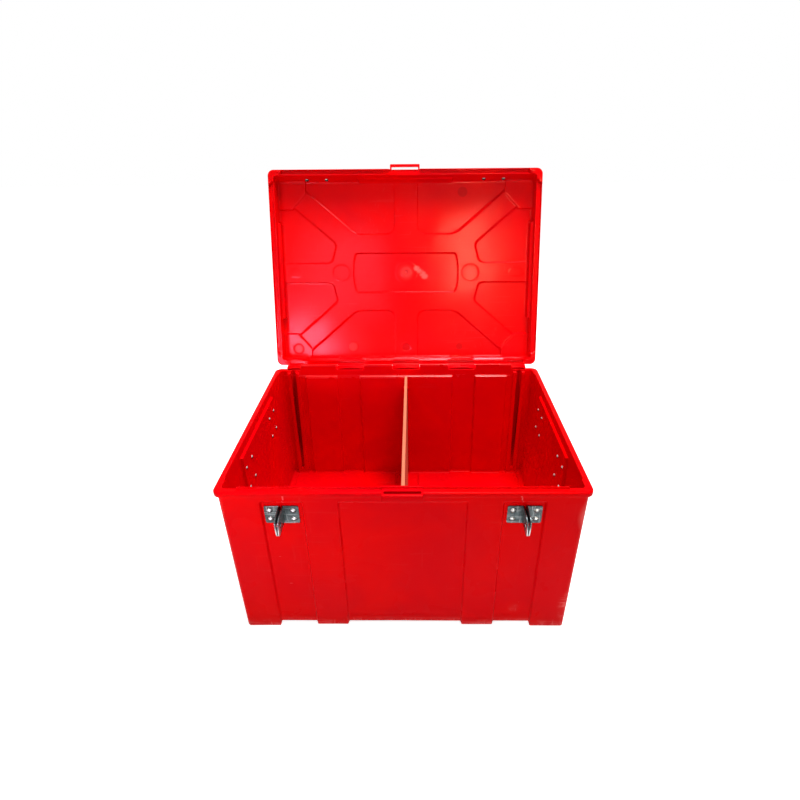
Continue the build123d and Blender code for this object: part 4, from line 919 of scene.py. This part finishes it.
# ---------------- the object
tub_part(tub_shell(), "base_shell")
lid_part(lid_frame(), "lid_shell")
lid_part(lid_panel())
tub_part(tie_loop("tub_loop", LIP_OUT - HALF_D, BASE_H - SADDLE_DROP, BASE_H + SADDLE_FRONT_H))
tub_part(soft_block("tub_saddle", -LOOP_HALF, LOOP_HALF, LIP_OUT - HALF_D - 2, CAVITY_TOP - HALF_D,
                    BASE_H - 2, BASE_H + SADDLE_H, 1.1))
lid_part(tie_loop("lid_loop", -HALF_D + 2, LID_Z + 6.4, LID_Z + RIM_T + 4, opened=True))
for index, (low, high) in enumerate(BASE_KNUCKLES):
    tub_part(knuckle(f"tub_knuckle_{index}", low, high, base_reach))
    tub_part(soft_block(f"tub_tab_{index}", low, high, HALF_D - 12, HALF_D - 9.5, BASE_H - 4, TAB_Z, 0.7))
    tub_part(soft_block(f"tub_stop_{index}", low, high, STOP_Y0, STOP_Y1, BASE_H - RIM_T, STOP_Z, 1.2))
for index, (low, high) in enumerate(LID_KNUCKLES):
    lid_part(knuckle(f"lid_knuckle_{index}", low, high, lid_reach, opened=True), material=RED)

ribs = [(-RIB_X, RIB_X, y - RIB_HALF, y + RIB_HALF) for y in (-120, 0, 120)]
ribs += [(x - RIB_HALF, x + RIB_HALF, -RIB_Y, RIB_Y) for x in (-195, -65, 65, 195)]
for index, rib in enumerate(ribs):
    tub_part(soft_block(f"under_rib_{index}", *rib, RIB_FOOT, UNDER_Z + 0.6, 0.6))
tub_part(turned("middle_foot", [(16, UNDER_Z + 0.6), (16, 1.0), (15.7, 0.3), (15, 0)], (0, 0, 0)))
TAIL = [(4.4, 0), (4.4, 0.8), (4.0, 2.2), (3.0, 3.4), (1.6, 4.1), (0.5, 4.3)]
for side, sign in (("left", -1), ("right", 1)):
    for half, out in (("outer", sign), ("inner", -sign)):
        dress(staple_wing(f"staple_wing_{side}_{half}", sign * STAPLE_X, out), STEEL, "base", "plated_steel")
        leaf = staple_leaf(f"staple_leaf_{side}_{half}", sign * STAPLE_X, out)
        dress(leaf, STEEL, "base", "plated_steel", *([f"hasp_staple_{side}"] if half == "outer" else []))
    for index, x in enumerate((sign * TAIL_X - TAIL_APART, sign * TAIL_X + TAIL_APART)):
        tail = turned(f"hasp_rivet_tail_{side}_{index}", TAIL, (x, TAIL_Y, TAIL_Z), along_y=True, opened=True)
        dress(tail, RIVET, "lid", "rivet_metal")

slots = {row["node"]: row["material_slot"] for row in frame["record"]["subparts"]}
finishes = {"red_plastic": RED, "plated_steel": STEEL, "rivet_metal": RIVET, "grip_rubber": BLACK,
            "board": BOARD}
for node, obj in frame["nodes"].items():
    if obj.hide_render:
        continue
    obj.data.materials.clear()
    obj.data.materials.append(finishes[slots[node]])
    if slots[node] == "plated_steel" and "pin" not in node:
        bevel(obj, 0.4, 2, 40)

# ---------------- camera, light and floor
YAW, PITCH, ROLL = -0.726, 25.573, 0.533
FOCAL_PX, IMAGE_PX = 522.34, 800.0
PRINCIPAL_X, PRINCIPAL_Y = 408.67, 358.65
CAMERA_AT = (19.92, -859.38, 861.32)

camera_data = bpy.data.cameras.new("camera")
camera = bpy.data.objects.new("camera", camera_data)
scene.collection.objects.link(camera)
camera.location = Vector(CAMERA_AT) / 1000
turned_to = Matrix.Rotation(radians(-YAW), 3, "Z") @ Matrix.Rotation(radians(90 - PITCH), 3, "X")
camera.rotation_euler = (turned_to @ Matrix.Rotation(radians(-ROLL), 3, "Z")).to_euler()
camera_data.sensor_width = 36.0
camera_data.lens = FOCAL_PX / IMAGE_PX * camera_data.sensor_width
camera_data.shift_x = (IMAGE_PX / 2 - PRINCIPAL_X) / IMAGE_PX
camera_data.shift_y = (PRINCIPAL_Y - IMAGE_PX / 2) / IMAGE_PX
camera_data.clip_start, camera_data.clip_end = 0.01, 50
scene.camera = camera


def lamp(name, place, target, size, power, colour=(1, 1, 1), spread=180):
    """Area lamp, in metres, watts and degrees."""
    data = bpy.data.lights.new(name, "AREA")
    data.shape, data.size, data.size_y = "RECTANGLE", size[0], size[1]
    data.energy, data.color, data.spread = power, colour, radians(spread)
    obj = bpy.data.objects.new(name, data)
    obj.location = place
    obj.rotation_euler = (Vector(target) - Vector(place)).to_track_quat("-Z", "Y").to_euler()
    scene.collection.objects.link(obj)


lamp("overhead", (0.3, 0.15, 2.3), (0, 0, 0.2), (1.4, 0.5), 70)
lamp("key", (-0.75, -1.15, 2.0), (0, -0.1, 0.2), (0.35, 0.35), 3.6)
lamp("low", (0.0, -2.2, 0.2), (0, -0.2, 0.1), (1.2, 0.25), 0.65, spread=28)
lamp("pink", (-0.66, -1.65, 0.53), (-0.24, 0.29, 0.38), (0.32, 0.32), 0.39, (1, 0.75, 1.0), 26)
lamp("veil", (-0.42, -1.65, 1.0), (-0.12, 0.32, 0.48), (0.5, 0.5), 0.13, (0.85, 0.85, 1), 28)
lamp("warm", (0.35, -1.65, 1.1), (0.15, 0.34, 0.55), (0.22, 0.42), 0.39, (1, 0.9, 0.45), 28)


AMBIENT, FLOOR_GLOW, WHITE = 0.13, 0.9, (1, 1, 1, 1)
world = bpy.data.worlds.new("studio")
scene.world = world
sky = Graph(world)
sky.nodes.clear()
ambient = sky.node("ShaderNodeBackground", {"Color": WHITE, "Strength": AMBIENT})
backdrop = sky.node("ShaderNodeBackground", {"Color": WHITE, "Strength": 1.0})
both = sky.node("ShaderNodeMixShader", {0: sky.seen_directly(), 1: ambient, 2: backdrop})
sky.links.new(both, sky.nodes.new("ShaderNodeOutputWorld").inputs[0])

floor_mesh = bpy.data.meshes.new("floor")
floor_mesh.from_pydata([(-6, -6, 0), (6, -6, 0), (6, 6, 0), (-6, 6, 0)], [], [(0, 1, 2, 3)])
floor = bpy.data.objects.new("floor", floor_mesh)
scene.collection.objects.link(floor)
floor_finish = bpy.data.materials.new("floor")
paint = Graph(floor_finish)
paint.nodes.clear()
diffuse = paint.node("ShaderNodeBsdfDiffuse", {"Color": (0.85, 0.85, 0.85, 1)})
glow = paint.node("ShaderNodeEmission", {"Strength": paint.times(paint.seen_directly(), FLOOR_GLOW)})
both = paint.node("ShaderNodeAddShader", {0: diffuse, 1: glow})
paint.links.new(both, paint.nodes.new("ShaderNodeOutputMaterial").inputs[0])
floor_mesh.materials.append(floor_finish)

bpy.context.scene.view_settings.view_transform = "Standard"
